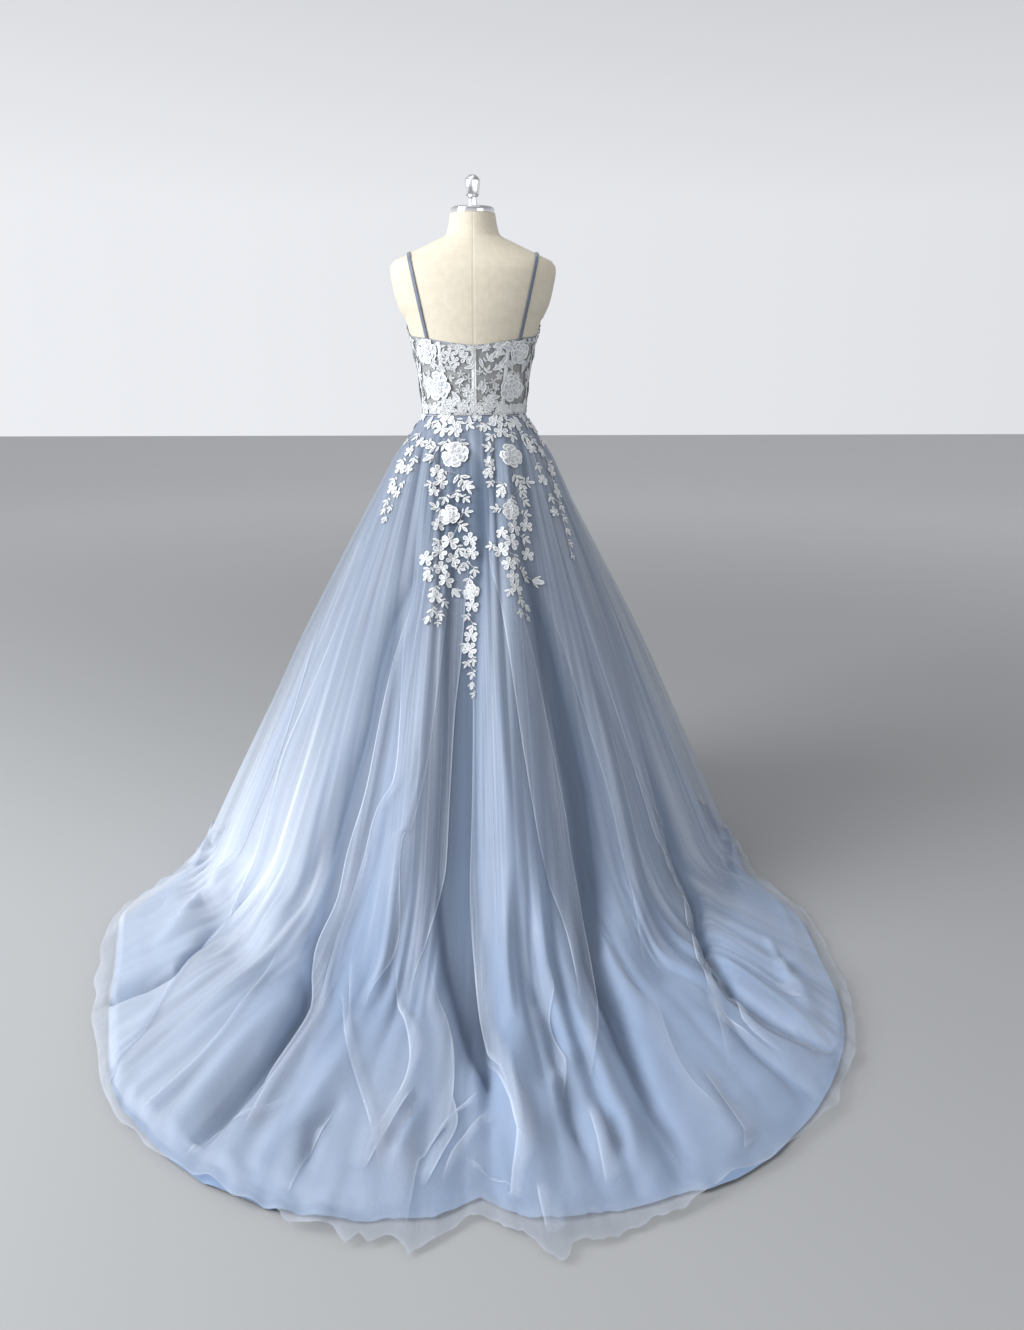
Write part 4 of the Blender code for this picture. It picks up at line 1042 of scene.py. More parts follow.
@dataclass
class SkirtFolds:
    """How far the folds lift or sink the cloth. Heights are in metres."""

    shape: SkirtShape
    view: PhotoView
    valley_power: float = 1.2
    ridge_power: float = 1.6
    valley_rows: tuple[float, float] = (1.2, 2.4)
    valley_widths: tuple[float, float] = (1.0, 0.42)
    gathered: Pleat = Pleat((36, 3), 4, 0.013, 0.25, 1.0)
    wide: Pleat = Pleat((92, 3), 7, 0.021, 0.14, 0.8)
    narrow: Pleat = Pleat((190, 5), 8, 0.008, 0.20, 0.4)
    pleats_sunk: float = 0.007
    pleats_sway: float = 0.0035
    calmed: float = 0.80
    waist_clear: float = 0.010
    knee_clear: float = 0.028
    side_sunk: float = 0.027
    hem_sunk: float = 0.015
    hem_span: float = 0.30
    shade_from: float = 0.009
    shade_over: float = 0.026
    hem_waves: float = 0.05
    row_after_hem: float = 1.12
    tulle_gather: float = 0.0022
    tulle_drape: float = 0.010
    tulle_clear: tuple[float, float] = (0.0012, 0.0028)
    floor_clear: float = 0.0030
    lines: list = field(init=False)

    def __post_init__(self) -> None:
        """Finds where on the skirt the photograph's creases lie."""
        self.lines = []
        for crease in PHOTO_CREASES:
            found = [self.shape.under_pixel(self.view, pixel) for pixel in crease.points]
            found = sorted((row, azimuth) for azimuth, row in filter(None, found))
            rows, azimuths = np.array(found).T
            self.lines.append((crease, rows, azimuths))

    def broad(self, azimuth: np.ndarray, row: np.ndarray) -> np.ndarray:
        """The big folds that all the layers share, at waist azimuths and rows."""
        lift = np.zeros_like(azimuth)
        pace = self.shape.metres_per_degree(azimuth, row)
        for crease, rows, azimuths in self.lines:
            line = np.interp(row, rows, azimuths)
            span = rows[-1] - rows[0]
            fade = smooth_step((row - rows[0]) / (crease.top * span)) * smooth_step(
                (rows[-1] - row) / (crease.end * span)
            )
            sunk = crease.height < 0
            off = (azimuth - line) * pace / crease.width
            if sunk:
                off = off / np.interp(row, self.valley_rows, self.valley_widths)
            power = self.valley_power if sunk else self.ridge_power
            lift += crease.height * fade * np.exp(-(np.abs(off) ** power))
        for centre, half, knee, hem in HIDDEN_FOLDS:
            off = np.abs(wrapped(azimuth - centre)) / half
            height = knee * smooth_step(row / 1.2) + (hem - knee) * smooth_step((row - 1.2) / 2)
            lift += np.where(off < 1, np.cos(np.minimum(off, 1) * math.pi / 2) ** 2, 0) * height
        return lift

    def pleats(self, azimuth: np.ndarray, row: np.ndarray) -> tuple[np.ndarray, np.ndarray]:
        """The small folds: how far they lift the cloth, and how near a valley a place lies."""
        turn, cloth = (azimuth / 360) % 1, self.shape.even_place(azimuth)
        cloth = cloth + self.pleats_sway * uneven(cloth, row / 4, (16, 5), 9)
        gathered = self.gathered.rise(turn, row)
        wide, narrow = self.wide.rise(cloth, row), self.narrow.rise(cloth, row)
        high = smooth_step(row / 0.10) * (1 - smooth_step((row - 0.2) / 1.2))
        calm = smooth_step(0.55 - 1.3 * uneven(cloth, row / 4, (15, 3), 12))
        low = smooth_step((row - 0.45) / 1.1) * (1 - self.calmed * calm)
        low = low * (1 - 0.25 * smooth_step((row - 2) / 0.8))
        lift = self.gathered.height * gathered * high
        lift = lift + (self.wide.height * wide + self.narrow.height * narrow - self.pleats_sunk) * low
        valley = high * self.gathered.valley(gathered)
        valley = valley + low * (self.wide.valley(wide) + self.narrow.valley(narrow))
        return lift, np.minimum(valley, 1)

    def body_lift(self, azimuth: np.ndarray, row: np.ndarray) -> np.ndarray:
        """How far the folds that all the layers share stand off the smooth surface."""
        base = self.waist_clear + self.knee_clear * smooth_step(row / 0.6)
        base = base * (1 - 0.40 * smooth_step((row - 1.9) / 0.9))
        lift = base + self.broad(azimuth, row) + self.pleats(azimuth, row)[0]
        pressed = 0.0012 + 0.0035 * smooth_step(row / 0.05)
        lift = np.maximum(lift, np.where(row < 1.6, pressed, 0.0025))
        return np.where(row < 0.12, pressed + (lift - pressed) * smooth_step(row / 0.12), lift)

    def lining_lift(self, azimuth: np.ndarray, row: np.ndarray) -> np.ndarray:
        """The lining's distance from the smooth surface, less at the sides and at the hem."""
        lift = self.body_lift(azimuth, row)
        aside = np.abs(wrapped(azimuth))
        aside = smooth_step((aside - 48) / 25) * (1 - smooth_step((aside - 112) / 20))
        sunk = self.side_sunk * aside * smooth_step((row - 0.1) / 0.5) * (1 - smooth_step((row - 1.6) / 0.6))
        near_hem = smooth_step(1 + self.past_lining(azimuth, row) / self.hem_span)
        lift = (lift - sunk - self.hem_sunk * near_hem) * (1 - 0.40 * near_hem)
        return np.maximum(lift, 0.0012 + 0.0030 * smooth_step(row / 0.05))

    def shaded(self, azimuth: np.ndarray, row: np.ndarray) -> np.ndarray:
        """How deep in one of the broad valleys a place lies, 0 to 1."""
        deep = smooth_step((-self.broad(azimuth, row) - self.shade_from) / self.shade_over)
        deep = deep * smooth_step(row / 0.25)
        return deep * (1 - 0.5 * smooth_step((row - 2.2) / 0.8))

    def lining_end(self, azimuth: np.ndarray) -> np.ndarray:
        """The row where the lining's hem lies, at waist azimuths."""
        waves = self.hem_waves * uneven((azimuth / 360) % 1, azimuth * 0, (150, 1), 77)
        return np.interp(wrapped(azimuth), *np.array(LINING_HEM).T) + waves

    def past_lining(self, azimuth: np.ndarray, row: np.ndarray) -> np.ndarray:
        """How far past the lining's hem a row lies, as a share of the floor's length of cloth."""
        ends = (row, self.lining_end(azimuth))
        gone, end = (np.interp(place, (2, 3, 4), (0, 1, self.row_after_hem)) for place in ends)
        return gone - end

    def tulle_lift(self, azimuth: np.ndarray, row: np.ndarray) -> np.ndarray:
        """The tulle's distance from the smooth surface."""
        turn = (azimuth / 360) % 1
        ease = smooth_step(row / 0.3)
        gathers = self.tulle_gather * np.abs(uneven(turn, row / 4, (44, 5), 11)) * smooth_step(row / 0.03)
        gathers = gathers * (1 - 0.8 * smooth_step(row / 0.9))
        cloth = self.shape.even_place(azimuth)
        low = smooth_step((row - 0.5) / 1.0)
        drape = np.abs(uneven(turn, row / 4, (34, 4), 21)) * (1 - low)
        drape = drape + np.abs(uneven(cloth, row / 4, (90, 4), 22)) * low
        drape = self.tulle_drape * drape * ease
        end = self.lining_end(azimuth)
        under = self.body_lift(azimuth, np.minimum(row, end))
        past = smooth_step((self.past_lining(azimuth, row) + 0.08) / 0.20)
        lift = under * (1 - past) + (self.floor_clear + 0.3 * drape) * past
        lift = lift + self.tulle_clear[0] + self.tulle_clear[1] * ease
        return lift + (gathers + drape) * (1 - 0.6 * past)


@dataclass(frozen=True)
class FoldEdge:
    """A thin bright edge where the tulle doubles over, drawn on the photograph; its brightness is partly
    painted highlight.

    The doubled cloth lies to one side of it, the image's right where side is 1 and left where it
    is -1, and fades into the single layer over its width.
    """

    points: tuple[Pixel, ...]
    side: int
    width: float
    strength: float = 1.0


PHOTO_EDGES = (
    FoldEdge(((471, 470), (469, 560), (466, 596), (461, 660), (455, 715), (450, 800), (446, 870), (440, 900),
              (426, 955), (414, 996), (408, 1056)), -1, 0.050, 1.0),
    FoldEdge(((483, 470), (489, 559), (502, 621), (521, 759), (536, 850), (557, 920), (568, 957), (576, 1000),
              (581, 1037)), 1, 0.060, 0.9),
    FoldEdge(((505, 500), (513, 581), (535, 671), (558, 790), (568, 850), (584, 930), (597, 1000),
              (596, 1064), (581, 1118)), -1, 0.080, 1.0),
    FoldEdge(((540, 480), (552, 540), (586, 659), (611, 734), (642, 831), (656, 860), (675, 904), (691, 957),
              (712, 1011), (723, 1054), (731, 1102)), 1, 0.050, 0.9),
    FoldEdge(((560, 560), (577, 621), (605, 715), (640, 800), (670, 858), (702, 957), (715, 1011),
              (750, 1043), (798, 1080), (833, 1107)), -1, 0.050, 0.9),
    FoldEdge(((690, 930), (707, 968), (734, 1011), (747, 1035), (790, 1070), (833, 1105)), 1, 0.030, 0.8),
    FoldEdge(((744, 985), (769, 995), (806, 1011), (857, 1024)), 1, 0.050, 0.6),
    FoldEdge(((384, 520), (367, 580), (333, 671), (305, 740), (286, 799), (270, 858), (247, 902), (228, 934),
              (202, 955), (168, 996), (142, 1038), (106, 1088)), 1, 0.055, 0.9),
    FoldEdge(((455, 500), (449, 596), (435, 727), (430, 765), (417, 827), (406, 855), (401, 949), (372, 1007),
              (359, 1049)), -1, 0.045, 0.9),
    FoldEdge(((412, 560), (405, 671), (400, 771), (380, 812), (367, 860), (346, 918), (333, 960), (320, 1007),
              (304, 1085)), 1, 0.050, 0.9),
    FoldEdge(((424, 500), (417, 590), (392, 671), (367, 790), (349, 852), (338, 900), (320, 939), (312, 970),
              (309, 1012), (273, 1067), (247, 1111), (195, 1161), (176, 1174)), 1, 0.070, 1.0),
    FoldEdge(((353, 960), (351, 996), (347, 1054), (358, 1098), (372, 1140)), 1, 0.030, 0.5),
    FoldEdge(((399, 960), (398, 1017), (409, 1059), (406, 1093), (375, 1145), (357, 1190), (341, 1238)),
             1, 0.050, 1.0),
    FoldEdge(((430, 960), (437, 1007), (453, 1059), (451, 1122), (427, 1164), (414, 1198), (405, 1235)),
             -1, 0.060, 0.9),
    FoldEdge(((471, 877), (474, 965), (485, 1046), (503, 1096), (514, 1139), (522, 1165)), 1, 0.030, 1.0),
    FoldEdge(((477, 1107), (462, 1118), (446, 1132), (432, 1150)), 1, 0.035, 0.9),
    FoldEdge(((488, 1121), (478, 1132), (470, 1140), (452, 1165), (440, 1200)), 1, 0.040, 0.8),
    FoldEdge(((536, 1198), (540, 1215), (548, 1235), (556, 1250)), 1, 0.050, 0.8),
    FoldEdge(((470, 1170), (486, 1186), (510, 1196), (528, 1206)), -1, 0.040, 0.7),
    FoldEdge(((345, 600), (320, 680), (296, 760), (270, 830), (232, 890)), -1, 0.045, 0.7),
    FoldEdge(((470, 640), (473, 715), (472, 800), (470, 900), (478, 1000), (492, 1060)), 1, 0.024, 0.5),
    FoldEdge(((532, 560), (556, 640), (584, 740), (606, 830), (630, 930), (652, 1010)), 1, 0.060, 0.5),
    FoldEdge(((604, 620), (636, 700), (672, 790), (712, 870), (768, 930)), 1, 0.050, 0.6),
    FoldEdge(((438, 480), (430, 560), (418, 640), (407, 720)), 1, 0.022, 0.5),
    FoldEdge(((392, 470), (376, 530), (352, 600), (325, 670)), 1, 0.030, 0.6),
    FoldEdge(((650, 1000), (668, 1050), (690, 1090), (726, 1130)), -1, 0.050, 0.5),
    FoldEdge(((340, 1000), (346, 1056), (366, 1122), (379, 1183)), 1, 0.045, 0.8),
    FoldEdge(((449, 1094), (458, 1133), (443, 1167), (424, 1200), (418, 1240)), -1, 0.050, 0.9),
    FoldEdge(((416, 1100), (388, 1144), (363, 1189), (346, 1232)), -1, 0.060, 0.9),
    FoldEdge(((316, 1000), (304, 1033), (271, 1089), (254, 1122), (240, 1150)), 1, 0.040, 0.8),
    FoldEdge(((166, 1006), (132, 1056), (108, 1092)), -1, 0.050, 0.7),
    FoldEdge(((293, 1106), (238, 1128), (204, 1144), (182, 1168)), 1, 0.045, 0.7),
    FoldEdge(((338, 1117), (321, 1144), (299, 1183), (286, 1206)), -1, 0.040, 0.7),
    FoldEdge(((481, 1049), (503, 1104), (516, 1143), (512, 1182), (506, 1204)), 1, 0.050, 0.9),
    FoldEdge(((542, 960), (553, 1004), (550, 1032), (566, 1082), (559, 1121)), -1, 0.060, 0.7),
    FoldEdge(((586, 1120), (598, 1160), (606, 1200)), 1, 0.040, 0.7),
    FoldEdge(((700, 1080), (726, 1120), (744, 1160)), 1, 0.045, 0.6),
    FoldEdge(((300, 930), (262, 990), (222, 1040), (180, 1085), (140, 1120)), 1, 0.050, 0.6),
)
# The same on the hidden front: azimuth at the waist, degrees it drifts, first and last row,
# side and width
HIDDEN_EDGES = (
    (101, 2, 0.1, 3.6, 1, 0.045), (119, -3, 0.2, 3.4, -1, 0.050), (134, 4, 0.1, 3.8, 1, 0.060),
    (150, -3, 0.3, 3.0, -1, 0.050), (168, 4, 0.1, 3.9, 1, 0.055), (186, -4, 0.2, 3.3, -1, 0.060),
    (203, 3, 0.1, 3.8, 1, 0.050), (221, -4, 0.3, 3.2, -1, 0.055), (238, 3, 0.1, 3.9, 1, 0.050),
    (256, -3, 0.2, 3.5, -1, 0.045),
)


@dataclass
class Skirts:
    """The lining, the tulle over it, and the doubled folds of the tulle.

    The shade amounts paint shade into the satin; the pale amounts whiten the tulle, and the light ones paint
    the window's light onto it. The strip and edge tables give a value at each of the rows before it.
    """

    shape: SkirtShape
    folds: SkirtFolds
    view: PhotoView
    lining_size: tuple[int, int] = (520, 170)
    tulle_size: tuple[int, int] = (560, 172)
    flat_round: float = 6.4
    row_marks: tuple[float, ...] = (0.0, 0.46, 0.64, 0.95, 1.0)
    hem_corners: tuple[tuple[float, float, float], ...] = (
        (37.0, 2.2, 0.030), (20.5, 3.6, 0.034), (-20.5, 4.4, 0.040), (-36.0, 5.0, 0.012), (29.0, 2.0, 0.010),
        (8.0, 4.0, -0.016), (-9.0, 4.0, -0.018), (48.0, 4.0, 0.010),
    )
    panels: tuple[str, ...] = ("back_left", "back_right", "side_left", "side_right", "front")
    metres_per_last_row: float = 0.1
    # How strongly painted shade darkens the satin in each place
    shade_folds: float = 0.85
    shade_waist: float = 0.68
    shade_pleats: float = 0.34
    shade_away: float = 0.26
    pale_streaks: float = 0.35
    pale_hem: float = 0.12
    # How strongly painted light from the window's side and on the far right flank whitens the tulle
    light_left: float = 0.50
    light_right: float = 0.16
    light_low_left: float = 0.24
    strip_out: float = 0.0026
    strip_columns: int = 12
    strip_crowns: tuple = ((0.3, 0.8, 1.6, 2.2), (0.001, 0.0045, 0.0025, 0.0004))
    edge_widths: tuple = ((0.4, 1.2, 2.2), (0.0024, 0.0018, 0.0032))
    edge_glows: tuple = ((0.2, 0.8, 1.6, 2.2), (0.30, 0.75, 0.70, 0.46))
    strip_veils: tuple = ((1.4, 2.2), (1.15, 1.9))

    def azimuths(self, u: np.ndarray) -> np.ndarray:
        """Spreads the columns evenly over the cloth, closer together at the back."""
        samples = self.shape.samples
        pace = self.shape.metres_per_degree(samples, np.full_like(samples, 3.0))
        pace = pace + 2 * self.shape.metres_per_degree(samples, np.full_like(samples, 0.5))
        pace = pace * np.interp(np.abs(samples), (85, 110), (1.0, 0.55))
        gone = np.concatenate([[0.0], np.cumsum((pace[1:] + pace[:-1]) / 2)])
        return np.interp(u * gone[-1], gone, samples)

    def down_cloth(self, azimuth: np.ndarray, row: np.ndarray) -> np.ndarray:
        """Roughly how far down the cloth a row lies, in metres."""
        length = np.interp(np.abs(azimuth), (0, 60, 90, 180), (1.86, 1.80, 1.42, 1.20))
        return np.interp(row, range(5), self.row_marks) * length

    def flat_places(self, azimuth: np.ndarray, row: np.ndarray) -> np.ndarray:
        """Places on the flat cut."""
        return np.stack([azimuth / 360 * self.flat_round, self.down_cloth(azimuth, row)], axis=-1)

    def hem_reach(self, azimuth: np.ndarray, row: np.ndarray) -> np.ndarray:
        """How far the tulle's uneven raw hem runs out past its smooth line, as a change of row."""
        turn = (azimuth / 360) % 1
        change = 0.10 * uneven(turn, row * 0, (90, 1), 31) + 0.07 * uneven(turn, row * 0, (230, 1), 32)
        for centre, half, reach in self.hem_corners:
            corner = np.exp(-(np.abs((azimuth - centre) / half) ** 1.25))
            change = change + reach / self.metres_per_last_row * corner
        return change * smooth_step((row - 3.2) / 0.8)

    @staticmethod
    def turned_away(azimuth: np.ndarray, row: np.ndarray) -> np.ndarray:
        """Marks the planes of the left back that the photograph shows deeper than the flank, 0 to 1: they get
        painted shade as turned from the window.
        """
        aside = smooth_step((azimuth - 18) / 14) * (1 - smooth_step((azimuth - 60) / 10))
        return aside * smooth_step((row - 0.7) / 0.8) * (1 - smooth_step((row - 1.5) / 0.7))

    def satin_shade(self, azimuth: np.ndarray, row: np.ndarray) -> np.ndarray:
        """How much painted shade darkens the satin: in the folds, under the waist and away from the window.
        """
        # Painted shade under the waist, in the broad valleys, in the small valleys and on the planes turned
        # from the window.
        under_waist = self.shade_waist * (1 - smooth_step((row - 0.1) / 1.1))
        hollow = np.maximum(self.shade_folds * self.folds.shaded(azimuth, row), under_waist)
        valley = self.folds.pleats(azimuth, row)[1] * (1 - 0.5 * smooth_step((row - 2.4) / 0.8))
        away = self.turned_away(azimuth, row)
        return np.minimum(hollow + self.shade_pleats * valley + self.shade_away * away, 1)

    def tulle_marks(self, azimuth: np.ndarray, row: np.ndarray) -> dict[str, np.ndarray]:
        """How much the tulle veils, how pale its threads are with painted light, and how much painted shade
        darkens it in the valleys and under the gathered waist.
        """
        round_hem = self.shape.even_place(azimuth)
        shaded = self.folds.shaded(azimuth, row)
        past_hem = row - self.folds.lining_end(azimuth)
        streaks = np.maximum(uneven(round_hem, row / 4, (240, 3), 51) - 0.40, 0)
        streaks = self.pale_streaks * streaks * smooth_step(row / 0.6) * (1 - smooth_step((row - 1.6) / 0.6))
        hem_line = self.pale_hem * smooth_step((row - 3.93) / 0.07)
        # Painted light: paler on the window's side, low on the left and on the far right flank.
        window_side = smooth_step((azimuth - 22) / 28) * (1 - smooth_step((azimuth - 115) / 30))
        far_left = smooth_step((azimuth - 63) / 10)
        low_left = smooth_step((azimuth - 14) / 20) * (1 - far_left) * smooth_step((row - 1.9) / 0.6)
        in_front = 1 - smooth_step((-azimuth - 110) / 30)
        far_right = smooth_step((-azimuth - 66) / 16) * in_front
        pale = self.light_left * far_left * window_side + self.light_right * far_right
        pale = pale * smooth_step((row - 0.4) / 0.7) + self.light_low_left * low_left
        margin = smooth_step((past_hem + 0.1) / 0.2)
        # The fold mark carries the streaks, the painted light and the paler hem.
        fold = streaks * (1 - 0.4 * shaded) + pale * (1 - shaded) * (1 - 0.8 * margin) + hem_line
        top = 1 - smooth_step(row / 0.9)
        valley = self.folds.pleats(azimuth, row)[1] * (1 - smooth_step(row / 1.8))
        right_top = smooth_step((-azimuth - 35) / 25) * in_front
        # Painted shade: darker under the waist, less so on the right, and in the small and broad valleys.
        dense = 0.50 * top * (1 - 0.6 * right_top) + 0.35 * valley + 0.55 * shaded
        veil = 1.0 + 0.30 * uneven(round_hem, row / 4, (70, 4), 52) + 0.5 * top
        # Less cover in the broad valleys and on the planes turned from the window lets the satin's painted
        # shade show.
        veil = veil * np.interp(row, (0.8, 2.2), (1.15, 0.72)) * (1 - 0.2 * shaded)
        veil = veil * (1 - 0.30 * self.turned_away(azimuth, row))
        veil = veil * (1 + 0.15 * smooth_step((row - 2.2) / 0.8))
        veil = veil * (1 + 0.5 * smooth_step(past_hem / 0.2))
        return {"veil": veil, "fold": fold, "dense": np.clip(dense, 0, 1)}

    def build_lining(self) -> bpy.types.Object:
        """Builds the satin lining."""

        def mapping(u: np.ndarray, v: np.ndarray) -> tuple:
            """Places the lining between the waist and its own hem."""
            azimuth = self.azimuths(u)
            end = self.folds.lining_end(azimuth)
            row = np.interp((1 - v) * np.interp(end, range(5), self.row_marks), self.row_marks, range(5))
            lift = self.folds.lining_lift(azimuth, row)
            hollow = self.satin_shade(azimuth, row)
            return self.shape.places(azimuth, row, lift), self.flat_places(azimuth, row), {"hollow": hollow}

        piece = mapped_piece("skirt_lining", self.lining_size, mapping, wrap=True)
        finish_piece(piece, SatinFinish().build(), [f"lining_{name}" for name in self.panels])
        return piece

    def build_tulle(self) -> bpy.types.Object:
        """Builds the tulle overskirt."""

        def mapping(u: np.ndarray, v: np.ndarray) -> tuple:
            """Places the tulle between the waist and its uneven hem."""
            azimuth, row = self.azimuths(u), np.interp(1 - v, self.row_marks, range(5))
            reach = row + self.hem_reach(azimuth, row)
            places = self.shape.places(azimuth, reach, self.folds.tulle_lift(azimuth, row))
            beyond = np.maximum(reach - 4, 0)[:, None] * self.metres_per_last_row
            level = places.copy()
            level[:, 2] = 0
            places = places + beyond * level / np.linalg.norm(level, axis=1)[:, None]
            return places, self.flat_places(azimuth, row), self.tulle_marks(azimuth, row)

        piece = mapped_piece("tulle_overskirt", self.tulle_size, mapping, wrap=True)
        nodes = [f"tulle_{name}" for name in self.panels]
        return finish_piece(piece, TulleFinish("tulle").build(), nodes)

    def edge_lines(self) -> list[tuple[np.ndarray, np.ndarray, int, float, float]]:
        """Every fold edge as azimuths and rows at even steps, with its side, width and strength."""
        lines = []
        for edge in PHOTO_EDGES:
            found = [self.shape.under_pixel(self.view, pixel) for pixel in edge.points]
            found = np.array([pair for pair in found if pair])
            lines.append((found[:, 0], found[:, 1], edge.side, edge.width, edge.strength))
        for azimuth, drift, first, last, side, width in HIDDEN_EDGES:
            rows = np.linspace(first, last, 7)
            sway = 0.9 * np.sin(rows * 2.1 + azimuth)
            lines.append((azimuth + drift * rows / 4 + sway, rows, side, width, 0.6))
        return lines

    def build_doubled_folds(self) -> bpy.types.Object:
        """Builds the strips of doubled tulle along the fold edges."""
        bm = bmesh.new()
        for number, (azimuths, rows, side, width, strength) in enumerate(self.edge_lines()):
            last = len(rows) - 1
            count = max(24, 9 * len(rows))

            def mapping(u: np.ndarray, v: np.ndarray) -> tuple:
                """Places one strip, from its bright edge to where it fades into the layer below."""
                t = (1 - v) * last
                azimuth, row = self.smooth_line(t, azimuths), self.smooth_line(t, rows)
                pace = self.shape.metres_per_degree(azimuth, row)
                ends = smooth_step((1 - v) / 0.25) * smooth_step(v / 0.22)
                wide = width * (0.55 + 0.45 * ends)
                wide = wide * (0.75 + 0.5 * uneven(np.full_like(v, 0.5), 1 - v, (3, 5), 61 + number))
                across = u**1.8
                azimuth = azimuth - side * across * wide / pace
                crown = np.interp(row, *self.strip_crowns)
                crown = crown * np.sin(math.pi * np.minimum(across * 1.4, 1.0)) * ends
                reach = np.minimum(row, 3.98)
                lift = self.folds.tulle_lift(azimuth, reach) + self.strip_out + crown
                thin = np.interp(row, *self.edge_widths)
                # Painted highlight along the fold edge, together with the doubled tulle's greater cover.
                bright = np.exp(-((across * wide / thin) ** 2)) * strength * ends
                bright = bright * np.interp(row, *self.edge_glows)
                veil = strength * ends * (1 - smooth_step((across - 0.35) / 0.65))
                veil = veil * np.interp(row, *self.strip_veils)
                marks = {"veil": veil, "fold": bright * 0.9, "dense": np.zeros_like(veil)}
                return self.shape.places(azimuth, reach, lift), self.flat_places(azimuth, row), marks

            mapped_grid(bm, self.strip_columns, count, mapping, inside_out=side < 0)
        piece = piece_from("tulle_folds", bm)
        finish = TulleFinish("tulle_doubled", thread=(0.47, 0.535, 0.65), flat_cover=0.27)
        return finish_piece(piece, finish.build())

    @staticmethod
    def smooth_line(t: np.ndarray, values: np.ndarray) -> np.ndarray:
        """Reads a smooth curve through values at whole numbers."""
        i = np.clip(np.floor(t).astype(int), 0, len(values) - 2)
        t = t - i
        before, after = values[np.maximum(i - 1, 0)], values[np.minimum(i + 2, len(values) - 1)]
        start, end = values[i], values[i + 1]
        return curve(t, start, end, (end - before) / 2, (after - start) / 2)

    def build(self) -> tuple[bpy.types.Object, bpy.types.Object]:
        """Builds the skirts and returns the tulle and its doubled folds."""
        self.build_lining()
        tulle = self.build_tulle()
        doubled = self.build_doubled_folds()
        return tulle, doubled


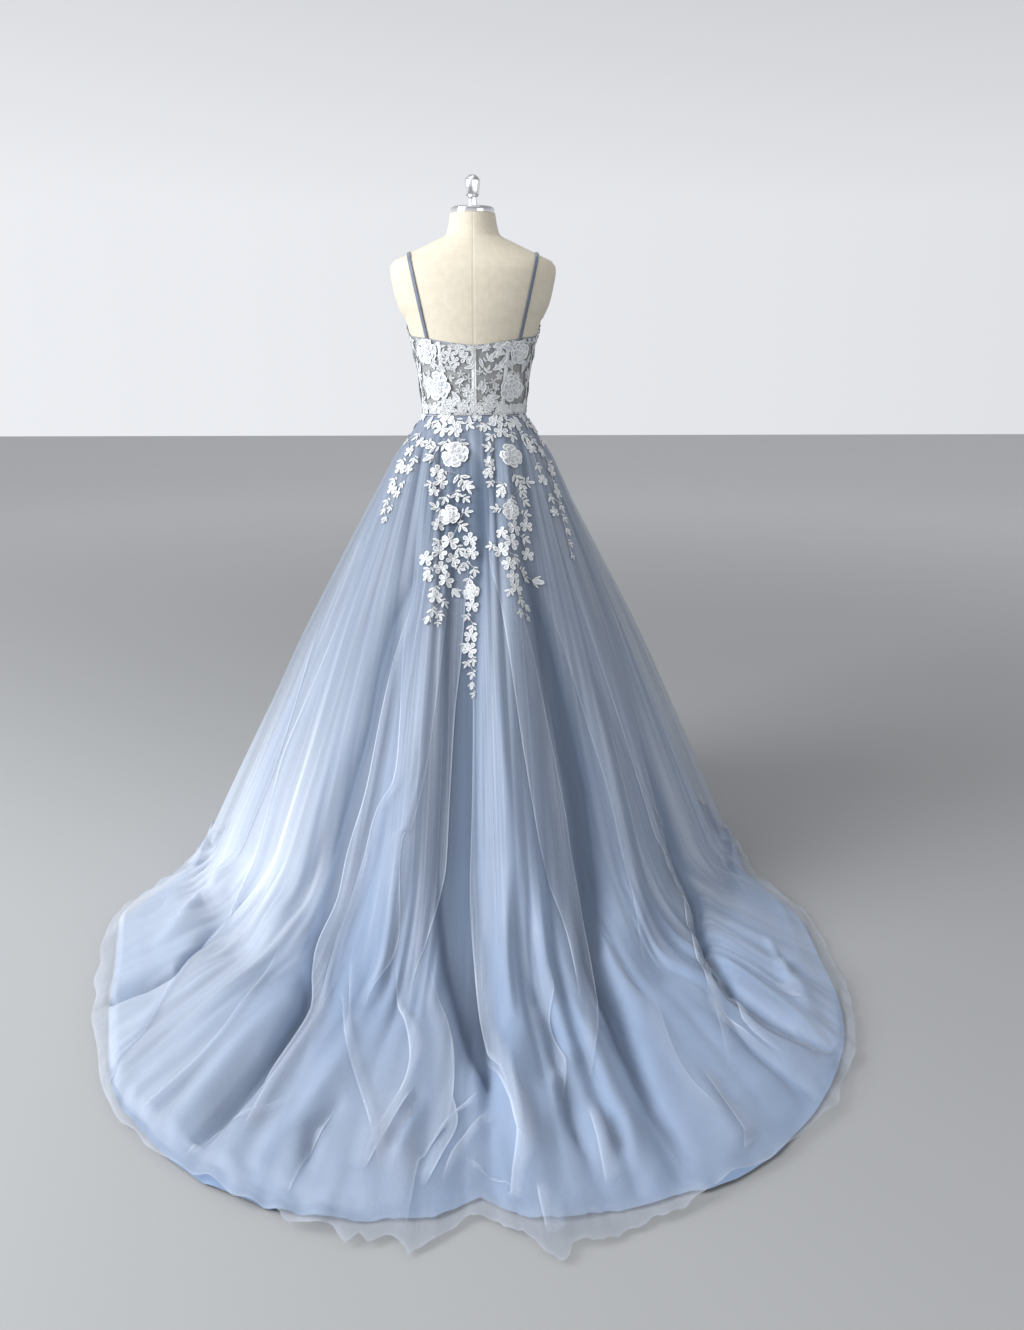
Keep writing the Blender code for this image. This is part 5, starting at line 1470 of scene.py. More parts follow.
@dataclass
class DressForm:
    """The linen-covered form, its chrome neck fittings and the stand under the skirt."""

    form: FormShape
    grid_size: tuple[int, int] = (160, 190)
    plate_out: float = 0.0026
    armhole: tuple[float, float] = (-0.004, 1.338)
    armhole_half: tuple[float, float] = (0.056, 0.060)
    seam_half: float = 0.0012
    princess_lines: tuple[tuple[float, float], ...] = ((44.0, 26.0), (136.0, -24.0))
    princess_top: float = 1.40
    neck_seam: float = 1.4585
    knob_start: tuple[float, float] = (0.0105, 0.0143)
    band_profile: tuple[tuple[float, float], ...] = (
        (0.0004, 0), (0.0004, 0.0482), (0.0010, 0.0488), (0.0098, 0.0488), (0.0112, 0.0480),
        (0.0120, 0.0466), (0.0136, 0.0440), (0.0138, 0),
    )
    knob_steps: tuple[tuple[float, float], ...] = (
        (0.0200, 0.0100), (0.0016, 0.0130), (0.0040, 0.0146), (0.0255, 0.0176), (0.0040, 0.0172),
        (0.0055, 0.0145), (0.0045, 0.0090), (0.0018, 0.0036),
    )
    base_profile: tuple[tuple[float, float], ...] = (
        (0.0, 0), (0.0, 0.163), (0.0016, 0.165), (0.0078, 0.165), (0.0100, 0.1625), (0.0180, 0.105),
        (0.0258, 0.050), (0.0300, 0.031), (0.0340, 0.030), (0.0580, 0.030), (0.0600, 0.0280), (0.0600, 0),
    )
    pole_profile: tuple[tuple[float, float], ...] = (
        (0.0603, 0), (0.0603, 0.0125), (0.40, 0.0125), (0.402, 0.0165), (0.430, 0.0165), (0.432, 0.0125),
        (0.7595, 0.0125), (0.7595, 0),
    )

    def seam_mark(self, azimuth: np.ndarray, z: np.ndarray) -> np.ndarray:
        """Marks the seams: centre back and front, princess lines, and round the neck."""
        radius = self.form.radius(azimuth, z)
        mark = np.zeros_like(z)
        for line in (0.0, 180.0):
            off = np.abs(wrapped(azimuth - line))
            mark = np.maximum(mark, np.exp(-((np.radians(off) * radius / self.seam_half) ** 2)))
        for _, way in SIDES:
            for start, lean in self.princess_lines:
                line = way * (start + lean * np.clip((z - WAIST_Z) / 0.34, 0, 1) ** 2 * 0.5)
                off = np.abs(wrapped(azimuth - line))
                near = np.exp(-((np.radians(off) * radius / self.seam_half) ** 2)) * (z < self.princess_top)
                mark = np.maximum(mark, near * 0.6)
        return np.maximum(mark, np.exp(-(((z - self.neck_seam) / 0.0010) ** 2)) * 0.9)

    def armhole_plate(self, places: np.ndarray) -> np.ndarray:
        """How far the flat oval plate at each armhole stands out."""
        off = np.hypot(*((places[:, 1:] - self.armhole) / self.armhole_half).T)
        return self.plate_out * smooth_step((1 - off) / 0.05) * (np.abs(places[:, 0]) > 0.12)

    def build_body(self) -> bpy.types.Object:
        """Builds the linen body, closed under the hips and at the neck."""
        low, high = FORM_SECTIONS[0][0], FORM_SECTIONS[-1][0]

        def mapping(u: np.ndarray, v: np.ndarray) -> tuple:
            """Places the linen, with its seams marked."""
            azimuth = u * 360 - 180
            z = low + (high - low) * v
            places = self.form.places(azimuth, z, 0.0)
            places = self.form.places(azimuth, z, self.armhole_plate(places))
            flat = np.stack([azimuth / 360 * 0.82, z], axis=-1)
            return places, flat, {"seam": self.seam_mark(azimuth, z)}

        piece = mapped_piece("form_linen", self.grid_size, mapping, wrap=True, fill=True, flat_angle=50.0)
        light, dark = (0.745, 0.685, 0.565), (0.615, 0.555, 0.445)
        linen = WovenFinish("form_linen", light, dark, 1500.0, seams=True)
        return finish_piece(piece, linen.build(), ["form_body"])

    def build_neck(self) -> None:
        """Builds the chrome band, cap and the eight-sided finial."""
        chrome = MetalFinish("polished_chrome", (0.82, 0.82, 0.83), 0.07, 1.0).build()
        top = FORM_SECTIONS[-1][0]
        finish_piece(turned("neck_band", self.band_profile, top, 72), chrome, ["neck_plate"])
        bm = bmesh.new()
        radius, above = self.knob_start
        start = bmesh.ops.create_circle(bm, cap_ends=True, segments=8, radius=radius)
        face = start["verts"][0].link_faces[0]
        bmesh.ops.translate(bm, vec=(0, 0, top + above), verts=start["verts"])
        for rise, wanted in self.knob_steps:
            made = bmesh.ops.extrude_discrete_faces(bm, faces=[face])
            face = made["faces"][0]
            bmesh.ops.translate(bm, vec=(0, 0, rise), verts=face.verts)
            share = wanted / radius
            bmesh.ops.scale(bm, vec=(share, share, 1), verts=face.verts)
            radius = wanted
        bmesh.ops.recalc_face_normals(bm, faces=bm.faces)
        bmesh.ops.bevel(bm, geom=bm.edges[:], offset=0.0006, offset_type="OFFSET", affect="EDGES",
                        segments=2, profile=0.5, material=-1)
        finish_piece(piece_from("neck_finial", bm, 40.0), chrome, ["neck_knob"])

    def build_stand(self) -> None:
        """Builds the pole, its collar and the weighted base."""
        paint = MetalFinish("stand_paint", (0.045, 0.045, 0.048), 0.38, 0.0, 0.3).build()
        finish_piece(turned("weighted_base", self.base_profile, 0.0, 96), paint, ["stand_base"])
        finish_piece(turned("pole", self.pole_profile, 0.0, 40), paint, ["stand_pole"])

    def build(self) -> None:
        """Builds the whole form."""
        self.build_body()
        self.build_neck()
        self.build_stand()


@dataclass
class Bodice:
    """The sheer net bodice with its bone casings, zip and straps."""

    form: FormShape
    net_size: tuple[int, int] = (240, 60)
    casing_size: tuple[int, int] = (12, 70)
    tape_size: tuple[int, int] = (10, 60)
    strap_size: tuple[int, int] = (20, 150)
    net_out: float = 0.0019
    casing_out: float = 0.0026
    casing_half: float = 0.0042
    casing_lines: tuple[tuple[str, float, float], ...] = (
        ("back", 44.0, 41.0), ("side", 82.0, 82.0), ("front", 118.0, 120.0),
    )
    seam_lines: tuple[float, ...] = (44.0, 82.0, 118.0, 180.0)
    flat_round: float = 0.80
    zip_gap: float = 0.0006
    zip_top: float = 1.2185
    tape_wide: float = 0.0048
    teeth_top: float = 1.2070
    teeth_pitch: float = 0.0015
    tooth: tuple[float, float, float] = (0.0016, 0.0009, 0.0008)
    strap_half: float = 0.0040
    strap_out: float = 0.0026
    strap_ends: tuple[tuple[float, bool], ...] = ((57.0, True), (132.0, False))
    shoulder_x: float = 0.143
    shoulder_from: float = 1.384

    def top_edge(self, azimuth: np.ndarray) -> np.ndarray:
        """The height of the top edge."""
        samples = np.linspace(0, 180, 361)
        heights = [along(TOP_EDGE, a, 1) for a in samples]
        return np.interp(np.abs(wrapped(azimuth)), samples, heights)

    def build_net(self) -> bpy.types.Object:
        """Builds the net shell with the bound top edge."""

        def mapping(u: np.ndarray, v: np.ndarray) -> tuple:
            """Places the net between the waist and the top edge."""
            azimuth = u * 360 - 180
            low, high = WAIST_Z + 0.0008, self.top_edge(azimuth)
            z = low + (high - low) * v
            seams = sum(np.exp(-(((np.abs(azimuth) - line) / 1.1) ** 2)) for line in self.seam_lines)
            out = self.net_out + 0.0006 * uneven((azimuth / 360) % 1, v, (40, 8), 71) + 0.0003 * seams
            flat = np.stack([azimuth / 360 * self.flat_round, z], axis=-1)
            hem = smooth_step((z - (high - 0.0045)) / 0.0015) + 0.5 * seams
            return self.form.places(azimuth, z, out), flat, {"hem": np.minimum(hem, 1)}

        piece = mapped_piece("bodice_net", self.net_size, mapping, wrap=True)
        parts = ("cup", "bodice_side_front", "bodice_side_back", "bodice_back")
        names = ["bodice_front", *(f"{part}_{side}" for part in parts for side, _ in SIDES)]
        finish_piece(piece, NetFinish().build(), names)
        return piece

    def build_casings(self) -> None:
        """Builds the six bone casings, each with a rounded back and two stitched edges."""
        light, dark = (0.875, 0.875, 0.850), (0.70, 0.71, 0.71)
        tape = WovenFinish("casing_tape", light, dark, 2600.0, 0.6, 0.3).build()
        for name, high_line, low_line in self.casing_lines:
            for side, way in SIDES:

                def mapping(u: np.ndarray, v: np.ndarray) -> tuple:
                    """Places one casing along its seam."""
                    line = way * (low_line + (high_line - low_line) * v)
                    top = self.top_edge(line) - 0.003
                    z = WAIST_Z + 0.002 + (top - WAIST_Z - 0.002) * v
                    across = (u * 2 - 1) * self.casing_half
                    azimuth = line + np.degrees(across / self.form.radius(line, z))
                    round_back = 0.0007 * np.sqrt(np.maximum(0, 1 - ((u * 2 - 1) / 0.72) ** 2))
                    flat = np.stack([across, z], axis=-1)
                    return self.form.places(azimuth, z, self.casing_out + round_back), flat, {}

                piece = mapped_piece(f"casing_{name}_{side}", self.casing_size, mapping)
                wall = piece.modifiers.new("wall", "SOLIDIFY")
                wall.thickness, wall.offset = 0.0006, -1.0
                finish_piece(piece, tape, [f"bone_casing_{name}_{side}"])

    def build_zip(self) -> None:
        """Builds the zip's tapes and teeth, and paints its slider and pull tab."""
        tape = WovenFinish("zip_tape", (0.94, 0.94, 0.93), (0.86, 0.87, 0.87), 2600.0, 0.55, 0.25).build()
        for side, way in SIDES:

            def mapping(u: np.ndarray, v: np.ndarray) -> tuple:
                """Places one tape, with its fold beside the teeth and its stitched edge."""
                low = WAIST_Z + self.zip_gap
                z = low + (self.zip_top - low) * v
                across = way * (0.0003 + u * self.tape_wide)
                azimuth = np.degrees(across / self.form.radius(np.zeros_like(z), z))
                lip = 0.0005 * np.exp(-(((u - 0.12) / 0.12) ** 2))
                lip = lip + 0.0003 * np.exp(-(((u - 0.9) / 0.08) ** 2))
                flat = np.stack([across, z], axis=-1)
                return self.form.places(azimuth, z, self.casing_out + lip), flat, {}

            piece = mapped_piece(f"zip_tape_cloth_{side}", self.tape_size, mapping)
            finish_piece(piece, tape, [f"zip_tape_{side}"])
        bm = bmesh.new()
        start = WAIST_Z + 0.002
        for k in range(int((self.teeth_top - start) / self.teeth_pitch)):
            z = start + k * self.teeth_pitch
            place = self.form.places(0.0, z, self.casing_out + 0.0006)
            made = bmesh.ops.create_cube(bm, size=1.0)["verts"]
            bmesh.ops.scale(bm, vec=self.tooth, verts=made)
            bmesh.ops.translate(bm, vec=(0.0004 * (-1) ** k, place[1], z), verts=made)
        teeth = MetalFinish("zip_teeth", (0.78, 0.78, 0.77), 0.35, 0.2).build()
        finish_piece(piece_from("zip_teeth", bm, 30.0), teeth)
        metal = MetalFinish("zip_metal", (0.80, 0.80, 0.79), 0.28, 0.75).build()
        for name in ("zip_slider", "zip_pull"):
            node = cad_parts[name]
            node.data.materials.clear()
            node.data.materials.append(metal)

    def strap_path(self, way: int) -> tuple[np.ndarray, np.ndarray]:
        """The middle line of one strap and the surface's outward directions along it."""
        shoulder = [row for row in FORM_SECTIONS[::-1] if row[0] >= self.shoulder_from]
        ridge = np.interp(self.shoulder_x, [row[1] for row in shoulder], [row[0] for row in shoulder])
        ridge = float(ridge)
        points, outward = [], []
        for start, behind in self.strap_ends:
            low = float(self.top_edge(np.array([start]))[0]) - 0.002
            low_x = float(self.form.places(start, low, 0.0)[0])
            heights = list(np.linspace(low, ridge - 0.012, 26))
            heights += [ridge - 0.012 * (1 - k / 10) ** 2 for k in range(1, 10)]
            stretch, ways = [], []
            for z in heights:
                x = low_x + (self.shoulder_x - low_x) * (z - low) / (ridge - low)
                azimuth = way * self.form.azimuth_at(x, z, behind)
                stretch.append(self.form.places(azimuth, z, 0.0))
                aside = self.form.places(azimuth + 0.5, z, 0.0) - self.form.places(azimuth - 0.5, z, 0.0)
                up = self.form.places(azimuth, z + 0.002, 0.0) - self.form.places(azimuth, z - 0.002, 0.0)
                normal = np.cross(up, aside)
                ways.append(normal / np.linalg.norm(normal))
            points += stretch if behind else stretch[::-1]
            outward += ways if behind else ways[::-1]
        return np.array(points), np.array(outward)

    def build_straps(self) -> None:
        """Builds the two narrow satin straps."""
        light, dark = (0.190, 0.220, 0.285), (0.125, 0.150, 0.205)
        satin = WovenFinish("strap_satin", light, dark, 2200.0, 0.42, 0.4).build()
        for side, way in SIDES:
            points, outward = self.strap_path(way)
            steps = np.arange(len(points))

            def read(t: np.ndarray, rows: np.ndarray) -> np.ndarray:
                """Reads rows of three values at even steps, between whole numbers too."""
                return np.stack([np.interp(t, steps, rows[:, k]) for k in range(3)], axis=-1)

            def mapping(u: np.ndarray, v: np.ndarray) -> tuple:
                """Places one strap: a flat ribbon with a bead along each edge."""
                t = v * steps[-1]
                middle, normal = read(t, points), read(t, outward)
                normal /= np.linalg.norm(normal, axis=1)[:, None]
                ahead = read(t + 0.5, points) - read(t - 0.5, points)
                across = np.cross(ahead, normal)
                across /= np.linalg.norm(across, axis=1)[:, None]
                turn = u * 2 * math.pi
                wide, high = np.cos(turn) * self.strap_half, np.sin(turn) * 0.0009
                bead = 0.0003 * (np.abs(np.cos(turn)) > 0.75)
                out = self.strap_out + high + bead * np.sign(np.sin(turn))
                flat = np.stack([u * 0.016, t * 0.01], axis=-1)
                return middle + across * wide[:, None] + normal * out[:, None], flat, {}

            name = f"shoulder_strap_{side}"
            piece = mapped_piece(name, self.strap_size, mapping, wrap=True, fill=True, flat_angle=60.0)
            finish_piece(piece, satin, [f"strap_{side}"])

    def build(self) -> bpy.types.Object:
        """Builds the bodice and returns its net shell."""
        net = self.build_net()
        self.build_casings()
        self.build_zip()
        self.build_straps()
        return net


class MotifKind(Enum):
    """The kinds of lace motif."""

    ROSE = "rose"
    BLOSSOM = "blossom"
    STAR = "star"
    LEAF = "leaf"
    TWIG = "twig"
    SPRAY = "spray"
    BUD = "bud"
    STEM = "stem"


@dataclass
class MotifMaker:
    """Models each kind of motif flat, at the origin, with y up and z out of the cloth.

    Across the cloth a motif's unit is its half size; out of it, the unit is the metre.
    """

    sunk: float = 0.0007
    stem_half: float = 0.0014
    cord_wall: float = 0.09
    flat: dict[MotifKind, bpy.types.Mesh] = field(default_factory=dict)

    def petal(
        self, bm: bmesh.types.BMesh, root: tuple[float, float], length: float, width: float, turn: float,
        lift: float, waist: float = 0.45, tip: float = 0.0, sides: int = 8, rim: float = 0.10,
    ) -> None:
        """Adds a petal or leaf with a corded rim round a sunk filling, and an outer wall marked for a painted
        shadow line.

        Args:
            bm: The motif.
            root: Where its root is.
            length: Its length.
            width: Its greatest width.
            turn: Its direction, clockwise in degrees from up.
            lift: Height of its rim, in metres.
            waist: How wide its root is, as a share of its width.
            tip: How pointed its end is, 0 round and 1 sharp.
            sides: How many points its outline has.
            rim: Width of the cord round it.
        """
        filled = bm.verts.layers.float.get("filled") or bm.verts.layers.float.new("filled")
        outline_shade = bm.verts.layers.float.get("outline_shade") or bm.verts.layers.float.new("outline_shade")
        cut = bm.loops.layers.uv.get("cut") or bm.loops.layers.uv.new("cut")
        first = len(bm.verts)
        ring = bmesh.ops.create_circle(bm, cap_ends=True, segments=sides, radius=1.0)["verts"]
        for vert in ring:
            rise = (vert.co.y + 1) / 2
            taper = waist + (1 - waist) * rise
            point = 1 - tip * max(0.0, rise * 2 - 1) ** 1.5
            vert.co = Vector((vert.co.x * width / 2 * taper * point, rise * length, lift))
        face = ring[0].link_faces[0]
        face.normal_update()
        if face.normal.z < 0:
            face.normal_flip()
        rims = list(face.edges)
        cord = min(rim, width * 0.16)
        bmesh.ops.inset_individual(bm, faces=[face], thickness=cord, depth=0.0)
        bmesh.ops.inset_individual(bm, faces=[face], thickness=cord * 0.4, depth=-self.sunk)
        for vert in face.verts:
            vert[filled] = 1.0
        # The sloped outer wall is marked for the painted shadow line round the motif.
        wall = bmesh.ops.extrude_edge_only(bm, edges=rims)["geom"]
        for vert in wall:
            if isinstance(vert, bmesh.types.BMVert):
                outward = Vector((vert.co.x / width, vert.co.y / length - 0.5, 0)).normalized()
                vert.co = Vector((*(vert.co + outward * self.cord_wall).xy, 0))
                vert[outline_shade] = 1.0
        bm.verts.ensure_lookup_table()
        mine = bm.verts[first:]
        for one in {near for vert in mine for near in vert.link_faces}:
            for loop in one.loops:
                loop[cut].uv = (loop.vert.co.x, loop.vert.co.y)
        bmesh.ops.rotate(bm, matrix=Matrix.Rotation(-math.radians(turn), 3, "Z"), verts=mine)
        bmesh.ops.translate(bm, vec=(*root, 0), verts=mine)

    def ring(
        self, bm: bmesh.types.BMesh, count: int, base: float, length: float, width: float, lift: float,
        shift: float = 0.0, waist: float = 0.5, tip: float = 0.0, sides: int = 8,
    ) -> None:
        """Adds a ring of petals whose roots lie round the centre, a little unevenly."""
        for k in range(count):
            turn = shift + 360 * k / count + 8 * math.sin(k * 2.3)
            swing = math.radians(turn)
            root = (base * math.sin(swing), base * math.cos(swing))
            size = 1 + 0.07 * math.sin(k * 4.1 + shift)
            self.petal(bm, root, length * size, width, turn, lift + 0.0003 * (k % 2), waist, tip, sides)

    def rose(self, bm: bmesh.types.BMesh) -> None:
        """A full rose of three rings of overlapping petals round a bud."""
        self.ring(bm, 7, 0.38, 0.62, 0.86, 0.0008, 10, 0.75)
        self.ring(bm, 5, 0.16, 0.60, 0.74, 0.0018, 40, 0.65)
        self.ring(bm, 4, 0.02, 0.42, 0.50, 0.0028, 15, 0.65)
        self.petal(bm, (0, -0.14), 0.28, 0.26, 0, 0.0036, 0.9)

    def blossom(self, bm: bmesh.types.BMesh) -> None:
        """A five-petalled flower with a raised eye."""
        self.ring(bm, 5, 0.14, 0.86, 0.84, 0.0011, waist=0.45, sides=7)
        self.petal(bm, (0, -0.2), 0.40, 0.38, 0, 0.0020, 0.95, sides=6)

    def star(self, bm: bmesh.types.BMesh) -> None:
        """A small flower of five narrow petals."""
        self.ring(bm, 5, 0.05, 0.95, 0.42, 0.0010, waist=0.5, tip=0.5, sides=6)

    def leaf(self, bm: bmesh.types.BMesh) -> None:
        """One pointed leaf with its root at the centre."""
        self.petal(bm, (0, 0), 2.0, 1.15, 0, 0.0010, 0.35, 0.7, sides=10)

    def twig(self, bm: bmesh.types.BMesh) -> None:
        """Three leaves and a bud at the end of a short stem."""
        self.petal(bm, (0, -0.3), 1.4, 0.12, 0, 0.0008, 0.9, sides=6)
        self.petal(bm, (0, 0.55), 1.2, 0.78, 4, 0.0011, 0.35, 0.65)
        self.petal(bm, (0, 0.25), 1.15, 0.66, 55, 0.0010, 0.35, 0.65)
        self.petal(bm, (0, 0.35), 1.10, 0.64, -50, 0.0010, 0.35, 0.65)
        self.petal(bm, (0, -0.15), 0.80, 0.46, -66, 0.0010, 0.35, 0.65)

    def spray(self, bm: bmesh.types.BMesh) -> None:
        """A stem with leaves to both sides."""
        self.petal(bm, (0, 0), 2.0, 0.10, 0, 0.0008, 0.9, sides=6)
        leaves = ((0.10, 58), (0.30, -52), (0.60, 50), (0.85, -46), (1.1, 42), (1.35, -38))
        for k, (share, turn) in enumerate(leaves):
            self.petal(bm, (0, share), 0.95 - 0.06 * k, 0.50, turn, 0.0011, 0.35, 0.7)
        self.petal(bm, (0, 1.6), 0.65, 0.38, 0, 0.0011, 0.35, 0.7)

    def bud(self, bm: bmesh.types.BMesh) -> None:
        """A closed bud between two small leaves."""
        self.petal(bm, (0, 0), 1.6, 0.95, 0, 0.0018, 0.5, 0.3)
        for turn in (-38, 38):
            self.petal(bm, (0, 0), 1.3, 0.44, turn, 0.0010, 0.4, 0.7)

    def stem(self, bm: bmesh.types.BMesh) -> None:
        """A cord two units long, of unit width."""
        self.petal(bm, (0, 0), 2.0, 1.0, 0, 0.0008, 0.9, sides=8)

    def add(self, bm: bmesh.types.BMesh, kind: MotifKind, size: float, turn: float) -> list:
        """Adds one motif of a kind, sized and turned.

        Args:
            bm: The mesh to add to.
            kind: What to add.
            size: Half its size, in metres.
            turn: Its turn clockwise, in degrees.

        Returns:
            Its vertices.
        """
        if kind not in self.flat:
            model = bmesh.new()
            getattr(self, kind.value)(model)
            self.flat[kind] = bpy.data.meshes.new(kind.value)
            model.to_mesh(self.flat[kind])
            model.free()
        first = len(bm.verts)
        bm.from_mesh(self.flat[kind])
        bm.verts.ensure_lookup_table()
        verts = bm.verts[first:]
        across = self.stem_half if kind is MotifKind.STEM else size
        bmesh.ops.scale(bm, vec=(across, size, 1), verts=verts)
        bmesh.ops.rotate(bm, matrix=Matrix.Rotation(-math.radians(turn), 3, "Z"), verts=verts)
        return verts


ROSE, BLOSSOM, STAR = MotifKind.ROSE, MotifKind.BLOSSOM, MotifKind.STAR
LEAF, TWIG, SPRAY, BUD = MotifKind.LEAF, MotifKind.TWIG, MotifKind.SPRAY, MotifKind.BUD

# Lace on the back of the bodice, by its place in the photograph: pixel, kind, half size, turn
BACK_LACE = (
    (427, 351, ROSE, 0.028, 10), (438, 386, ROSE, 0.032, 30), (452, 391, LEAF, 0.013, 140),
    (455, 384, LEAF, 0.011, 60), (446, 341, LEAF, 0.013, 250), (438, 340, LEAF, 0.011, 300),
    (450, 354, BLOSSOM, 0.0115, 0), (459, 351, BLOSSOM, 0.0115, 20), (455, 362, BLOSSOM, 0.0110, 40),
    (466, 358, BLOSSOM, 0.0120, 10), (464, 368, LEAF, 0.010, 80), (470, 366, LEAF, 0.010, 20),
    (472, 351, LEAF, 0.010, 330), (466, 347, LEAF, 0.009, 280), (461, 374, STAR, 0.009, 0),
    (468, 378, STAR, 0.009, 20), (460, 383, STAR, 0.009, 50), (484, 383, STAR, 0.009, 10),
    (493, 382, STAR, 0.009, 40), (488, 390, STAR, 0.009, 0), (468, 391, BLOSSOM, 0.013, 0),
    (471, 400, BLOSSOM, 0.012, 30), (460, 398, LEAF, 0.012, 240), (463, 405, BLOSSOM, 0.011, 10),
    (452, 402, BLOSSOM, 0.011, 40), (424, 372, LEAF, 0.013, 170), (428, 399, LEAF, 0.013, 40),
    (426, 407, BLOSSOM, 0.012, 0), (438, 407, BLOSSOM, 0.012, 25), (448, 410, LEAF, 0.010, 90),
    (482, 352, LEAF, 0.012, 30), (492, 347, LEAF, 0.016, 70), (501, 345, LEAF, 0.015, 110),
    (486, 361, TWIG, 0.014, 42), (496, 368, TWIG, 0.014, 75), (486, 374, TWIG, 0.012, 20),
    (498, 357, TWIG, 0.013, 5), (503, 385, LEAF, 0.012, 30), (482, 380, LEAF, 0.009, 200),
    (488, 360, LEAF, 0.013, 50), (496, 358, LEAF, 0.013, 20), (492, 370, LEAF, 0.013, 65),
    (500, 366, LEAF, 0.012, 35), (483, 368, LEAF, 0.010, 340), (506, 355, LEAF, 0.010, 300),
    (519, 352, ROSE, 0.026, 0), (511, 388, ROSE, 0.030, 20), (521, 373, LEAF, 0.013, 10),
    (524, 398, LEAF, 0.013, 200), (500, 396, LEAF, 0.012, 260), (488, 401, BLOSSOM, 0.013, 15),
    (497, 406, BLOSSOM, 0.012, 50), (482, 408, LEAF, 0.010, 200), (506, 410, BLOSSOM, 0.011, 0),
    (518, 409, BLOSSOM, 0.012, 30), (527, 408, LEAF, 0.010, 60), (482, 394, LEAF, 0.010, 20),
    (475, 408, BLOSSOM, 0.009, 0), (420, 388, LEAF, 0.012, 10), (531, 385, LEAF, 0.012, 350),
    (421, 362, LEAF, 0.011, 200), (529, 364, LEAF, 0.011, 150), (433, 368, LEAF, 0.010, 20),
    (512, 370, LEAF, 0.011, 330), (505, 376, LEAF, 0.010, 60), (446, 372, LEAF, 0.010, 320),
)
